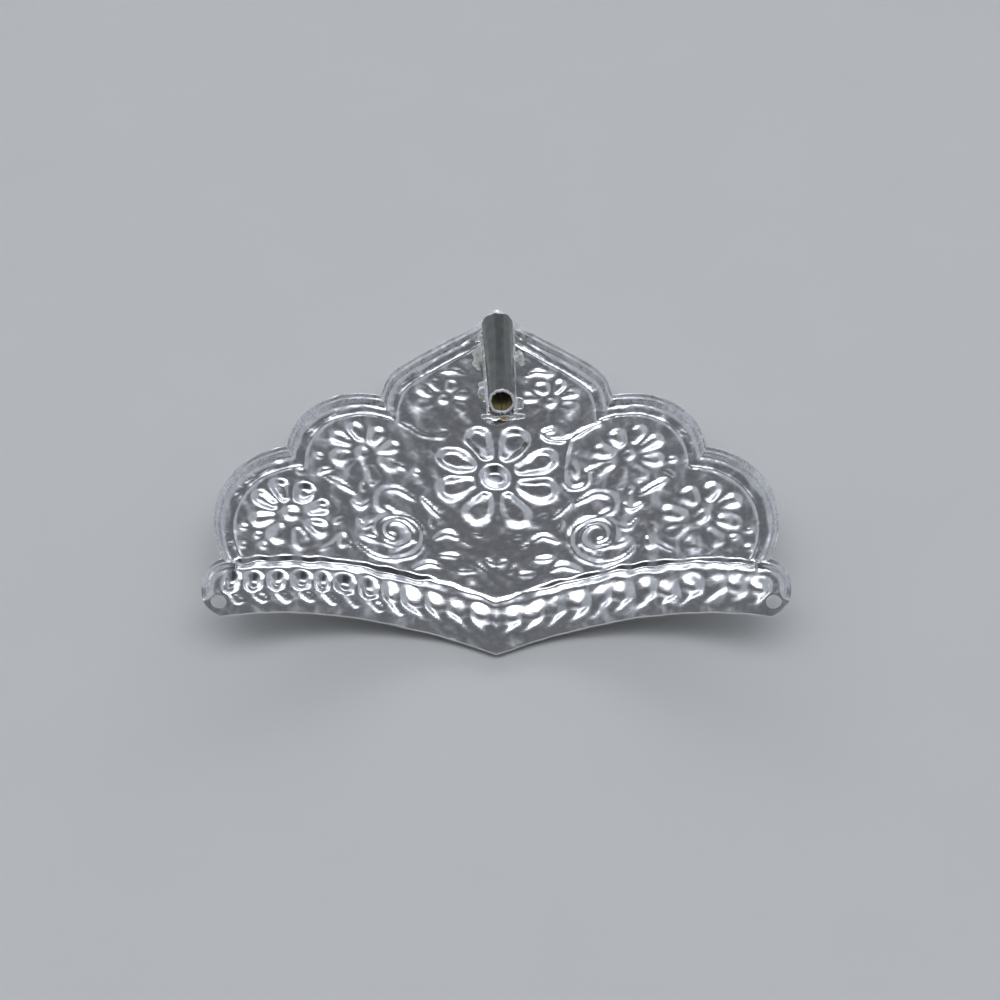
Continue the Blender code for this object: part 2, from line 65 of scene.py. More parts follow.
# The pattern, in its own units
PATTERN_HALF = 36.5
MM = 0.001
BROW = ((0.0, -24.0), (5.0, -22.2), (10.0, -21.2), (17.5, -20.7), (25.0, -21.2), (30.5, -22.3), (33.8, -23.3))
END_TOP = (34.3, -15.9)      # notch between the band and the lowest point
LOW_TOP = (27.75, 2.2)       # notch between the two side points
HIGH_TOP = (16.0, 13.0)      # notch beside the middle point
TIP = (HIGH_TOP, (14.9, 16.6), (12.1, 19.9), (8.2, 23.3), (4.1, 26.6), (1.3, 29.6), (0.6, 30.5),
       (0.0, 30.8))
BAND_END = (BROW[-1], END_TOP, 2.45)
LOW_POINT = (END_TOP, LOW_TOP, 4.4)
HIGH_POINT = (LOW_TOP, HIGH_TOP, 3.2)
SHEET_MIDDLE = (BROW[0][1] + TIP[-1][1]) / 2     # the v that lies at y = 0
TIE_TURN = math.radians(-48)
TIE_RADIUS, TIE_MARGIN, HOLE_FLAT = 0.95, 0.6, 0.45
GROOVE_RISE, GROOVE_END = 7.35, 31.5
FLUTE_START, FLUTE_PITCH, FLUTE_COUNT = 4.07, 2.81, 11
FLUTE_PATH = ((-0.6, 1.5), (-0.2, 2.0), (0.35, 2.6), (0.7, 3.1), (0.8, 5.3))
FLUTE_FADE = 0.6             # the row of flutes fades out over that
BROW_ROUNDED = 3             # the flutes follow the brow's corner in the middle rounded by that
# Middle of a flute's pit over the brow, half its length, and how far it moves up and shortens on the left
PIT_RISE, PIT_REACH, PIT_UP, PIT_SHORTER = 3.6, 2.48, 0.7, 0.78
TAIL_RISE, TAIL_REACH, TAIL_WIDTH = 2.0, 0.95, 0.56      # and of the oval below it, with its width
PIT_WIDTH, PIT_WIDENS, PIT_SLIMMER = 0.7, 0.48, 0.2      # half widths over half the pitch; slimmer on the left
DEEPER_FROM, DEEPER_OVER = 5, 13     # the left flutes grow deeper from that u
# Shares of the flutes' depth: the trough, a pit, what it gains on the left, and the oval there
TROUGH_SHARE, PIT_SHARE, LEFT_SHARE, TAIL_SHARE = 0.24, 0.46, 0.85, 0.2
TUBE_FOOT, TUBE_TOP = 12.6, 26.7
TUBE_FLATS, TUBE_LIPS = 0.00045, 0.0005    # how uneven the rolling left the tube, and its cut ends
# The tube's blank: its columns, its rows near each end, where the even rows begin and their number, and the
# rounding of its lips
BLANK_COLUMNS, BLANK_NEAR, BLANK_EVEN, BLANK_ROWS = 97, (0.10, 0.22, 0.5, 1.0), 1.8, 14
BLANK_LIP = [(0.03, 0.86), (0.0, 0.5), (0.03, 0.14)]
PETALS = 8
# Brown spots in the solder: burnt flux below the mouth, and painted shadow in the gap beside the top of the
# tube
FLUX_AND_SHADOW_SPOTS = ((0.0009, (11.9 - SHEET_MIDDLE) * MM, 0.0012), (0.0033, (26.2 - SHEET_MIDDLE) * MM, 0.0013))
# Fillets of solder along both sides of the tube: first, last and spacing along it; two rows, each with its
# distance from the tube's middle, its height and its size; and how far they part towards the top
FILLET_RUN, FILLET_ROWS, FILLET_FLARE = (0.5, 13.4, 0.16), ((1.76, 0.02, 0.75), (1.62, 0.35, 0.7)), 0.42
BRIGHT_BELOW = (16, 19)      # the solder is bright below the first v and dull above the second
SPOT_EDGE = (0.0009, 0.0003)    # where each of those spots begins and where it is full
# Traces of solder over the sheet beside the tube and below its mouth: u, v, half sizes and number of lumps
TRACES = ((-2.6, 22.6, 0.35, 2.2, 40), (-2.5, 26.0, 0.4, 0.45, 10), (3.2, 22.4, 0.25, 1.8, 26),
          (-1.9, 16.6, 0.4, 1.5, 22), (0.9, 12.4, 2.7, 0.4, 44), (3.0, 14.4, 0.25, 0.8, 12),
          (-0.5, 29.5, 0.7, 0.4, 16))
# The size of their lumps, how flat those are, and how much flatter towards the outside
TRACE_SIZE, TRACE_FLAT, TRACE_MIDDLE, TRACE_THINS = (1.3, 1.9), (0.11, 0.17), 1.35, 0.8
MELT_CELL, SKIN_CELL, MELT_PASSES = 0.00005, 0.00008, 8      # melting: volume cells, facets and smoothing
# Height of the rim over the border, inwards from the edge: a steep lip, a broad slope and a step at its foot
RIM_LINE = ((0.0, 1.0), (0.12, 0.98), (0.28, 0.77), (0.68, 0.64), (0.95, 0.17), (1.3, 0.05), (1.6, 0.0),
            (1.8, 0.0))
RIM_ROWS = (0.1, 0.2, 0.3, 0.47, 0.65, 0.8, 0.95, 1.1, 1.25, 1.5)
BORDER = 1.3                 # plain strip between the rim's foot and the inner step
RIM_FOOT = 1.05
STEP_WIDTH = 0.45
RIM_WORN, RIM_FADE = 0.75, 0.5       # the rim is scuffed this far in from the edge, and fades over that
RIM_MIDDLE, SIDES_WORN = 11.0, 0.25  # most out to that u, and in the end only this share of it
SCUFFED = 0.36               # how much rougher it is there at most
# Depth of the groove from its lower side to its upper: a broad slope, then a steep wall
GROOVE_LINE = ((-1.2, 0.0), (-0.95, 0.1), (0.02, 0.97), (0.1, 1.0), (0.18, 0.93), (0.42, 0.06), (0.56, 0.0))
GROOVE_ROWS = (-1.15, -0.7, -0.4, -0.15, 0.0, 0.12, 0.22, 0.33, 0.46, 0.6)
SKIRT, SKIRT_REACH = 0.14, 1.7   # share of a hollow's depth that is a gentle slope round it, and its reach
WALL_TILT = 0.22             # how much steeper the upper walls of the petals are than the lower ones
LEAF_TILT = 0.3              # and those of the leaves and scrolls
LEAF_SLOPE, SCROLL_SLOPE = 5, 4      # width over depth of a stroke whose sides have a steepness of 1
CELL = 0.1                   # spacing of the grid that the pressed surface is worked out on
BEAD, BEAD_ROW, BEAD_WIDTH, BEAD_RISE = 0.5, 1.75, 0.28, 0.018    # the row of fine beads along the border
SKEW = 0.25                  # the stamp sat a little lower on the right and higher on the left
LEFT_GROOVE = 1.17           # the groove was pressed deeper on the left
GROOVE_MIDDLE = 0.4          # and is that share of its depth in the middle
TIP_LOWER, TIP_FROM, TIP_OVER = 0.45, 24, 5      # the rim is a share lower at the tip, from that v
END_RIM_FROM, END_RIM_OVER = math.radians(-32), math.radians(30)     # where round the band's end its rim grows
# Facets: steps along the edge and the rows that follow it, room that grid points keep from them as a share of
# the finest spacing, and how far the slope turns from one point to the next before the grid gets finer
EDGE_STEP, ROW_STEP, HOLE_SIDES, CLEARANCE = 0.28, 0.3, 36, 0.55
BENT, SHARPLY_BENT = 0.2, 0.55
# Unevenness of the hand: seed, number of waves, the longest and the shortest of them
WAVES = {"edge": (11, 16, 1.9, 0.9), "beads": (41, 6, 22.0, 9.0), "groove line": (19, 10, 5.0, 2.2),
         "groove depth": (37, 8, 9.0, 5.0), "aside": (23, 12, 11.0, 4.0), "up": (29, 12, 11.0, 4.0),
         "strikes": (31, 14, 9.0, 3.0), "slow": (7, 30, 5.5, 2.2), "short": (13, 40, 1.5, 0.8)}
EDGE_WANDER, GROOVE_WANDER, STROKE_WANDER, STRIKE_SPREAD = 0.012, 0.06, 0.1, 0.09


def a_length(name, text, default):
    """A size in metres."""
    return FloatProperty(name=name, description=text, default=default, unit="LENGTH")


def an_angle(name, text, default):
    """An angle in radians."""
    return FloatProperty(name=name, description=text, default=default, subtype="ANGLE")


def a_colour(name, text, default):
    """A colour without transparency."""
    return FloatVectorProperty(name=name, description=text, default=default, subtype="COLOR", size=3, min=0,
                               max=1)


class CrownSheet(bpy.types.PropertyGroup):
    """Sizes of the pressed sheet."""
    thickness: a_length("Thickness", "Thickness of the metal", 0.00034)
    bend_radius: a_length("Bend radius", "Radius of the bend round the brow", 0.043)
    wing_angle: an_angle("Wing angle", "Slope of the straight wings beyond the bend", math.radians(16))
    rim_rise: a_length("Rim rise", "How far the edge of the points stands up", 0.0012)
    step_rise: a_length("Step rise", "Height of the line inside the border", 0.00016)
    flower_depth: a_length("Centre flower", "Depth of the centre flower", 0.00090)
    small_depth: a_length("Side flowers", "Depth of the flowers in the side points", 0.00062)
    scroll_depth: a_length("Scrolls", "Depth of the scrolls and leaves", 0.00048)
    flute_depth: a_length("Flutes", "Depth of the flutes across the band", 0.00068)
    groove_depth: a_length("Groove", "Depth of the line above the band", 0.00045)
    softness: a_length("Softness", "How far every pressed edge is softened", 0.00014)
    waviness: a_length("Waviness", "Height of the slow waves in the plain metal", 0.000040)
    ripple: a_length("Ripple", "Height of the short waves in the plain metal", 0.000005)
    worn: a_length("Worn", "Rubbed off the highest places of the front", 0.00006)
    finest: a_length("Finest facet", "Spacing of points where the metal curves most", 0.000155)


class CrownTube(bpy.types.PropertyGroup):
    """Sizes of the plume tube and its solder."""
    bore: a_length("Bore", "Inner diameter at the lower mouth", 0.00276)
    wall: a_length("Wall", "Thickness of the rolled metal", 0.00034)
    flare: a_length("Flare", "How much wider the tube is at its top", 0.00086)
    slant: an_angle("Mouth slant", "Slant of the cut of the lower mouth", math.radians(22))
    lean: an_angle("Lean", "Turn of the tube about its lower mouth", math.radians(2.4))
    aside: a_length("Aside", "How far the lower mouth is from the middle", 0.0007)
    gap: a_length("Solder gap", "Room between the tube and the sheet", 0.0003)
    lump: a_length("Solder lump", "Mean radius of a lump of solder", 0.00036)
    seam: an_angle("Seam", "Opening of the seam under the tube", 0.045)
    seed: IntProperty(name="Seed", description="Arrangement of the solder", default=4)


class CrownFinish(bpy.types.PropertyGroup):
    """Colours and polish."""
    silver: a_colour("Silver", "Colour of the polished sheet", (0.90, 0.90, 0.92))
    # Its clouds are tarnish in the hollows and painted shade for the mottled reflections of the plain metal
    tarnish_and_shade: a_colour("Tarnish and painted shade", "Colour of the metal in its hollows", (0.45, 0.445, 0.46))
    # The tube's silver is painted dark grey, far darker than the sheet's: painted shade for its darker
    # reflections
    rolled: a_colour("Rolled silver", "Colour of the dull tube", (0.21, 0.215, 0.205))
    solder: a_colour("Solder", "Colour of the solder traces", (0.54, 0.55, 0.51))
    # Also painted into the solder beside the top of the tube as shadow
    stain: a_colour("Stain", "Colour of burnt flux", (0.30, 0.25, 0.12))
    polish: FloatProperty(name="Roughness", description="Roughness of the polished sheet", default=0.17,
                          min=0, max=1, subtype="FACTOR")


class CrownStage(bpy.types.PropertyGroup):
    """Floor, lights and camera."""
    floor: a_colour("Floor", "Colour of the floor", (0.62, 0.62, 0.61))
    back: FloatProperty(name="Back light", description="Brightness of the soft band low behind", default=3.0)
    top: FloatProperty(name="Top light", description="Brightness of the soft band overhead", default=2.6)
    glow: FloatProperty(name="Glow", description="Brightness of the glow round both bands", default=0.45)
    side: FloatProperty(name="Side fill", description="Brightness of both sides", default=0.45)
    sky: FloatProperty(name="Sky", description="Brightness of the rest behind the crown", default=0.090)
    lamp: FloatProperty(name="Lamp", description="Power of the soft lamp overhead", default=0.4, unit="POWER")
    distance: a_length("Camera distance", "From the camera to its target", 0.2379)
    elevation: an_angle("Camera elevation", "Height of the camera over the horizon", math.radians(55))
    lens: FloatProperty(name="Lens", description="Focal length", default=65.88, unit="CAMERA")


# Lines of the pattern

def curve_through(points, step):
    """Points along a smooth curve through the given ones, about step apart."""
    p = np.array(points, float)
    p = np.vstack([2 * p[0] - p[1], p, 2 * p[-1] - p[-2]])
    out = []
    for a, b, c, d in zip(p[:-3], p[1:-2], p[2:-1], p[3:]):
        count = max(1, round(float(np.hypot(*(c - b))) / step))
        for t in np.arange(count) / count:
            out.append(0.5 * (2 * b + (c - a) * t + (2 * a - 5 * b + 4 * c - d) * t ** 2
                              + (3 * b - a - 3 * c + d) * t ** 3))
    out.append(p[-2])
    return np.array(out)


def arc_circle(start, end, bulge):
    """Centre and radius of the arc from start to end that bulges to the right of that direction."""
    start, end = np.array(start), np.array(end)
    chord = end - start
    half = np.hypot(*chord) / 2
    radius = (half ** 2 + bulge ** 2) / (2 * bulge)
    outward = np.array([chord[1], -chord[0]]) / (2 * half)
    return (start + end) / 2 - outward * (radius - bulge), radius


def arc_points(start, end, bulge, step, inset=0.0):
    """Points along that arc, both ends included, or along one that lies inset within it."""
    centre, radius = arc_circle(start, end, bulge)
    a = math.atan2(start[1] - centre[1], start[0] - centre[0])
    b = math.atan2(end[1] - centre[1], end[0] - centre[0])
    count = max(2, round(abs(b - a) * radius / step))
    angles = a + (b - a) * np.arange(count + 1) / count
    return centre + (radius - inset) * np.column_stack([np.cos(angles), np.sin(angles)])


def outline(step):
    """The edge of the right half, from the middle of the brow round to the tip."""
    parts = [curve_through(BROW, step)]
    parts += [arc_points(*arc, step) for arc in (BAND_END, LOW_POINT, HIGH_POINT)]
    parts.append(curve_through(TIP, step))
    return np.vstack([parts[0]] + [p[1:] for p in parts[1:]])


BROW_CURVE = curve_through(BROW, 0.4)


def brow(u):
    """Height of the brow edge at each u."""
    return np.interp(u, BROW_CURVE[:, 0], BROW_CURVE[:, 1])


def tie_centre():
    """Middle of the hole in the end of the band."""
    centre, radius = arc_circle(*BAND_END)
    reach = radius - TIE_MARGIN - TIE_RADIUS
    return centre + reach * np.array([math.cos(TIE_TURN), math.sin(TIE_TURN)])


def ring_round(centre, radius, sides):
    """Points of a circle."""
    turns = np.arange(sides) * 2 * math.pi / sides
    return np.array(centre) + radius * np.column_stack([np.cos(turns), np.sin(turns)])


# Ornament

def leaf(points, width, right, left=None):
    """A hollow leaf along a line: pointed at both ends, widest in the middle, its sides that steep on the
    right half and on the left."""
    left = right if left is None else left
    return {"kind": "leaf", "points": points, "width": width, "floor": 0,
            "depth": (right * width / LEAF_SLOPE, left * width / LEAF_SLOPE)}


def scroll(points, width, right, left, start=0.45, end=1.0):
    """A hollow line that begins at a share of its width and ends at another, round."""
    return {"kind": "scroll", "points": points, "width": width, "floor": 0, "start": start, "end": end,
            "depth": (right * width / SCROLL_SLOPE, left * width / SCROLL_SLOPE)}


def flower(centre, reach, boss, petal, depth, floor=0.0, fade=0.6, heart=None):
    """Hollow petals round a hollow boss, out to the reach; a petal widens outwards, and the lower ones are
    shallower by the fade. The depths are those of the right half and the left."""
    cu, cv = centre
    strokes = [{"kind": "boss", "points": [centre], "width": 2 * boss, "floor": floor,
                "depth": heart or depth}]
    large = boss > 2
    inner, outer = boss + petal * (0.36 if large else 0.55), reach - petal / 2
    for k in range(PETALS):
        angle = 2 * math.pi * (k + 0.5) / PETALS
        ends = [(cu + r * math.cos(angle), cv + r * math.sin(angle)) for r in (inner, outer)]
        share = 1 - fade * (1 - math.sin(angle)) / 2
        if ends[1][0] > 0:
            strokes.append({"kind": "petal", "points": ends, "width": petal, "floor": floor,
                            "start": 0.52 if large else 0.7, "depth": tuple(d * share for d in depth)})
    return strokes


# The points of each, its width, and how steep its sides are: on the right and the left, where they differ
LEAVES = (
    # Inside the large spiral and beside it
    (((16.3, -3.3), (17.4, -4.3), (19.0, -3.8)), 1.4, 0.75),
    (((15.2, -6.2), (16.9, -7.2), (18.3, -6.2)), 1.3, 0.65),
    (((13.6, -9.5), (15.3, -9.1), (17.2, -8.8)), 1.5, 0.75),
    (((11.7, -9.2), (13.5, -10.6)), 1.1, 0.7),
    (((10.5, -8.7), (10.9, -7.7)), 0.9, 0.7),
    # The long leaf with its hook, and the lily below it
    (((18.4, -2.5), (20.6, -1.3), (22.6, -0.6)), 1.5, 0.75),
    (((21.5, 0.7), (22.6, 0.3), (23.3, -0.5)), 1.3, 0.65),
    (((17.2, -1.9), (17.7, -0.8)), 1.3, 0.7),
    (((16.0, -0.8), (16.6, -0.6)), 0.8, 0.6),
    (((18.6, -0.4), (19.2, -0.2)), 0.8, 0.6, 0.2),
    (((19.5, -8.9), (19.6, -10.9)), 1.8, 0.75),
    (((19.4, -9.6), (18.1, -11.0)), 1.0, 0.6),
    (((20.0, -9.6), (20.9, -10.7), (22.7, -11.8)), 1.05, 0.65),
    (((20.0, -6.8), (20.7, -8.0)), 0.9, 0.6),
    # Inside the crozier and beside it
    (((10.2, 4.4), (10.6, 1.3)), 1.1, 0.75, 0.0),
    (((10.0, 2.0), (11.0, 2.4)), 1.1, 0.0, 0.7),
    (((11.9, 2.5), (13.1, 3.1)), 1.2, 0.7),
    # Round the centre flower, the lotus below it and the tip
    (((7.0, -4.1), (8.3, -3.1), (10.0, -1.6)), 1.15, 0.7),
    (((7.8, -6.1), (8.4, -4.6)), 1.0, 0.7),
    (((5.3, -3.8), (6.6, -3.2)), 1.0, 0.6, 0.0),
    (((4.7, -7.7), (6.2, -6.8), (7.9, -7.9)), 1.7, 0.8),
    (((4.7, -10.4), (7.2, -10.2)), 1.35, 0.75),
    (((6.9, -12.1), (8.5, -11.3), (10.7, -12.6)), 1.4, 0.75),
    (((2.7, -12.3), (5.1, -12.3)), 1.35, 0.7),
    (((1.8, -6.7), (3.4, -6.5)), 0.85, 0.65),
    (((2.9, -8.6), (4.4, -7.8)), 0.9, 0.65),
    (((1.2, -12.4), (2.5, -10.9)), 1.0, 0.5),
    (((0.0, -11.0), (1.3, -10.1)), 1.15, 0.7),
    (((3.9, 19.3), (5.6, 20.0), (7.5, 19.4)), 1.25, 0.8, 0.6),
    (((3.4, 22.3), (4.5, 21.9)), 0.9, 0.5, 0.2),
)
# In the corners of the side points: u, v, width and the steepness
DROPS = ((25.6, -0.9, 1.3, 0.0, 0.65), (23.2, 2.3, 1.3, 0.65), (32.0, -10.2, 1.2, 0.7),
         (30.2, -11.2, 1.3, 0.7), (31.9, -12.8, 1.3, 0.7), (29.3, -12.6, 1.2, 0.3, 0.7),
         (26.9, -12.4, 0.8, 0.6, 0.0))
SPIRAL = ((17.6, -10.2), (16.0, -11.3), (13.6, -11.75), (11.3, -10.9), (9.8, -9.3), (9.4, -7.4), (10.1, -5.8),
          (11.8, -4.9), (13.6, -5.0), (15.0, -6.1), (15.3, -7.6), (14.5, -9.1), (12.9, -9.5), (11.5, -8.8),
          (11.0, -7.4), (11.8, -6.1), (13.1, -5.9), (14.1, -6.8), (14.0, -7.9), (13.2, -8.2))
RING = ((10.6, -2.2), (11.5, -1.6), (12.9, -0.9), (14.6, -1.4), (15.1, -2.7), (14.8, -4.0), (13.5, -4.6))
CROZIER = ((13.8, 9.8), (11.4, 9.2), (9.6, 8.0), (9.0, 4.5), (9.0, 1.5), (10.0, 0.2), (11.5, 0.6),
           (11.8, 2.5))
HOOK = ((14.0, 9.9), (11.8, 9.2), (9.5, 8.3), (7.0, 8.7), (6.3, 9.8), (7.3, 10.2))


def ornament(sizes):
    """Every hollow but the flutes, with depths in millimetres on the right half and the left."""
    d, deepest, small = sizes.scroll_depth / MM, sizes.flower_depth / MM, sizes.small_depth / MM
    strokes = flower((0, 2.55), 8.7, 2.15, 4.6, (deepest * 0.66,) * 2, 0.34, 0.12, (deepest,) * 2)
    strokes += flower((26.3, -7.4), 5.6, 1.3, 2.8, (small * 0.46, small * 0.95), 0.25, 0.6, (0.22, 0.3))
    strokes += flower((17.35, 3.9), 5.2, 1.15, 2.75, (small * 0.48,) * 2, 0.25, 0.6, (0.2, 0.2))
    strokes += flower((7.25, 14.5), 4.15, 0.95, 2.3, (d * 0.55, d * 0.42), 0.25, 0.75, (0.18, 0.15))
    strokes += [scroll(SPIRAL, 1.3, 0.62, 0.62, 0.6, 0.8), scroll(RING, 1.8, 0.5, 0.38, 0.5),
                scroll(CROZIER, 1.15, 0.75, 0.0), scroll(HOOK, 1.2, 0.85, 0.35)]
    strokes += [leaf(*row) for row in LEAVES]
    strokes += [leaf([(u - size * 0.3, v), (u + size * 0.3, v)], size, *steep)
                for u, v, size, *steep in DROPS]
    return strokes


def spine(stroke, depth, step):
    """Points along the middle of a stroke, with the half width and the depth there."""
    points = np.array(stroke["points"], float)
    if len(points) > 1:
        points = curve_through(points, step)
        if len(points) == 2 and stroke["kind"] != "petal":
            points = np.array([points[0], points.mean(axis=0), points[1]])
    share = np.linspace(0, 1, len(points))
    half = stroke["width"] / 2
    if stroke["kind"] == "leaf":
        swell = np.sin(math.pi * share).clip(0) ** 0.65
        return points, half * (0.12 + 0.88 * swell), depth * (0.35 + 0.65 * swell)
    if stroke["kind"] == "boss":
        return points, np.array([half]), np.array([depth])
    quick = 1.0 if stroke["kind"] == "petal" else 4.0    # a scroll is at its width in a quarter of its length
    swell = stroke["start"] + (1 - stroke["start"]) * np.minimum(1, share * quick)
    swell *= 1 + (stroke.get("end", 1.0) - 1) * share
    return points, half * swell, depth * np.minimum(1, swell + 0.15)


def hollow(stroke, depth, p):
    """Places near a stroke and its depth there, in millimetres."""
    points, radii, depths = spine(stroke, depth, 0.15)
    widest = radii.max() * SKIRT_REACH * (1 + LEAF_TILT)
    low, high = points.min(axis=0) - widest, points.max(axis=0) + widest
    near = np.nonzero(((p > low) & (p < high)).all(axis=1))[0]
    q = p[near]
    best = np.zeros(len(near))
    last = len(points) - 1
    for i in range(max(1, last)):
        j = min(i + 1, last)
        run = points[j] - points[i]
        t = np.clip((q - points[i]) @ run / max(run @ run, 1e-9), 0, 1)
        radius = radii[i] + t * (radii[j] - radii[i])
        away = q - points[i] - t[:, None] * run
        reach = np.hypot(*away.T) / radius
        upper = away[:, 1] / np.maximum(reach * radius, 0.05)
        if stroke["kind"] in ("leaf", "scroll"):
            reach /= 1 - LEAF_TILT * upper
        if stroke["floor"]:
            shape = ease((1 - reach) / (1 - stroke["floor"] - WALL_TILT * upper))
        else:
            shape = (1 - np.minimum(reach, 1) ** 2) ** 2
        shape = (1 - SKIRT) * shape + SKIRT * (1 - np.minimum(reach / SKIRT_REACH, 1) ** 2) ** 2
        best = np.maximum(best, (depths[i] + t * (depths[j] - depths[i])) * shape)
    return near, best


def flutes(sizes, p, left):
    """Depth of the flutes across the band: a row of slanted pits in one shallow trough. On the left they grow
    deeper towards the end of the band, with an oval below each."""
    u = p[:, 0]
    rise = p[:, 1] - brow(np.sqrt(u ** 2 + BROW_ROUNDED ** 2))
    path = np.array(FLUTE_PATH)
    aside = np.interp(rise, path[:, 1], path[:, 0])
    place = (u - aside - FLUTE_START) / FLUTE_PITCH
    across = 2 * (place - np.round(place))
    deeper = ease((u - DEEPER_FROM) / DEEPER_OVER) * left
    wide = PIT_WIDTH + (PIT_WIDENS - PIT_SLIMMER * deeper) * ease((rise - 2) / 2)
    along = (rise - PIT_RISE - PIT_UP * deeper) / (PIT_REACH - PIT_SHORTER * deeper)
    pit = np.clip(1 - along ** 2 - (across / wide) ** 2, 0, 1) ** 2
    oval = np.clip(1 - ((rise - TAIL_RISE) / TAIL_REACH) ** 2 - (across / TAIL_WIDTH) ** 2, 0, 1)
    trough = ease((6.2 - rise) / 1.9) * ease((rise - 0.8) / 4)
    ends = 1 - ease((u - FLUTE_START - FLUTE_PITCH * (FLUTE_COUNT - 0.6)) / FLUTE_FADE)
    pit *= 0.78 + 0.22 * ease(rise - 2.5)
    shares = TROUGH_SHARE * trough + (PIT_SHARE + LEFT_SHARE * deeper) * pit
    shares += TAIL_SHARE * deeper * ease(oval / 0.5)
    return sizes.flute_depth / MM * shares * ends


def ease(x):
    """Smooth step from 0 to 1."""
    x = np.clip(x, 0, 1)
    return x * x * (3 - 2 * x)


def join_soft(a, b, width):
    """The larger of two depths, rounded where they meet."""
    over = np.maximum(width - np.abs(a - b), 0) / width
    return np.maximum(a, b) + over ** 2 * width / 4


def edge_distance(p):
    """Distances in from the edge of the points, mitred at the notches, and from the band's round end, with
    the direction there and how far along the edge of the points it is."""
    reaches, along = [], []
    for arc in (LOW_POINT, HIGH_POINT):
        centre, radius = arc_circle(*arc)
        away = p - centre
        reaches.append(radius - np.hypot(*away.T))
        along.append(radius * np.arctan2(away[:, 1], away[:, 0]))
    tip = curve_through(TIP, 0.5)
    tip = np.vstack([[tip[0, 0] + 0.6, tip[0, 1] - 30], tip])
    signed, behind, passed = np.full(len(p), np.inf), np.zeros(len(p)), 0.0
    for a, b in zip(tip[:-1], tip[1:]):
        run = b - a
        t = np.clip((p - a) @ run / (run @ run), 0, 1)
        away = p - a - t[:, None] * run
        side = np.sign(run[0] * away[:, 1] - run[1] * away[:, 0])
        distance = np.hypot(*away.T)
        nearer = distance < np.abs(signed)
        signed = np.where(nearer, side * distance, signed)
        behind = np.where(nearer, passed + t * np.hypot(*run), behind)
        passed += np.hypot(*run)
    reaches.append(signed)
    along.append(behind)
    points, along = np.max(reaches, axis=0), np.choose(np.argmax(reaches, axis=0), along)
    centre, radius = arc_circle(*BAND_END)
    away = p - centre
    band = np.where(away[:, 0] > 0, radius - np.hypot(*away.T), radius)
    return points, band, np.arctan2(away[:, 1], away[:, 0]), along


def bell(x):
    """The shares of a blur, which add up to 1, at places x from its middle."""
    shares = np.exp(-0.5 * x ** 2)
    return shares / shares.sum()


def soft_profile(corners, blur):
    """A line through corner points with its corners rounded, as fine samples to interpolate."""
    step, reach = 0.01, 25
    at = np.arange(corners[0][0] - 0.5, corners[-1][0] + 0.5, step)
    line = np.pad(np.interp(at, *np.array(corners).T), reach, mode="edge")
    return at, np.convolve(line, bell(np.arange(-reach, reach + 1) * step / blur), mode="valid")


def soften(grid, cells):
    """A grid blurred by that many cells each way."""
    reach = int(3 * cells) + 1
    kernel = bell(np.arange(-reach, reach + 1) / cells)
    for axis in (0, 1):
        wide = np.pad(grid, [(reach, reach) if n == axis else (0, 0) for n in (0, 1)], mode="edge")
        size = grid.shape[axis]
        grid = sum(k * (wide[i:i + size] if axis == 0 else wide[:, i:i + size]) for i, k in enumerate(kernel))
    return grid


def slow_waves(p, seed, count, longest, shortest):
    """Gentle unevenness over the pattern, from -1 to 1 or so."""
    rng = np.random.default_rng(seed)
    total = np.zeros(len(p))
    for _ in range(count):
        length = longest * (shortest / longest) ** rng.random()
        turn, phase = rng.uniform(0, 2 * math.pi, 2)
        total += np.sin((p[:, 0] * math.cos(turn) + p[:, 1] * math.sin(turn)) * 2 * math.pi / length + phase)
    return total / math.sqrt(count / 2)


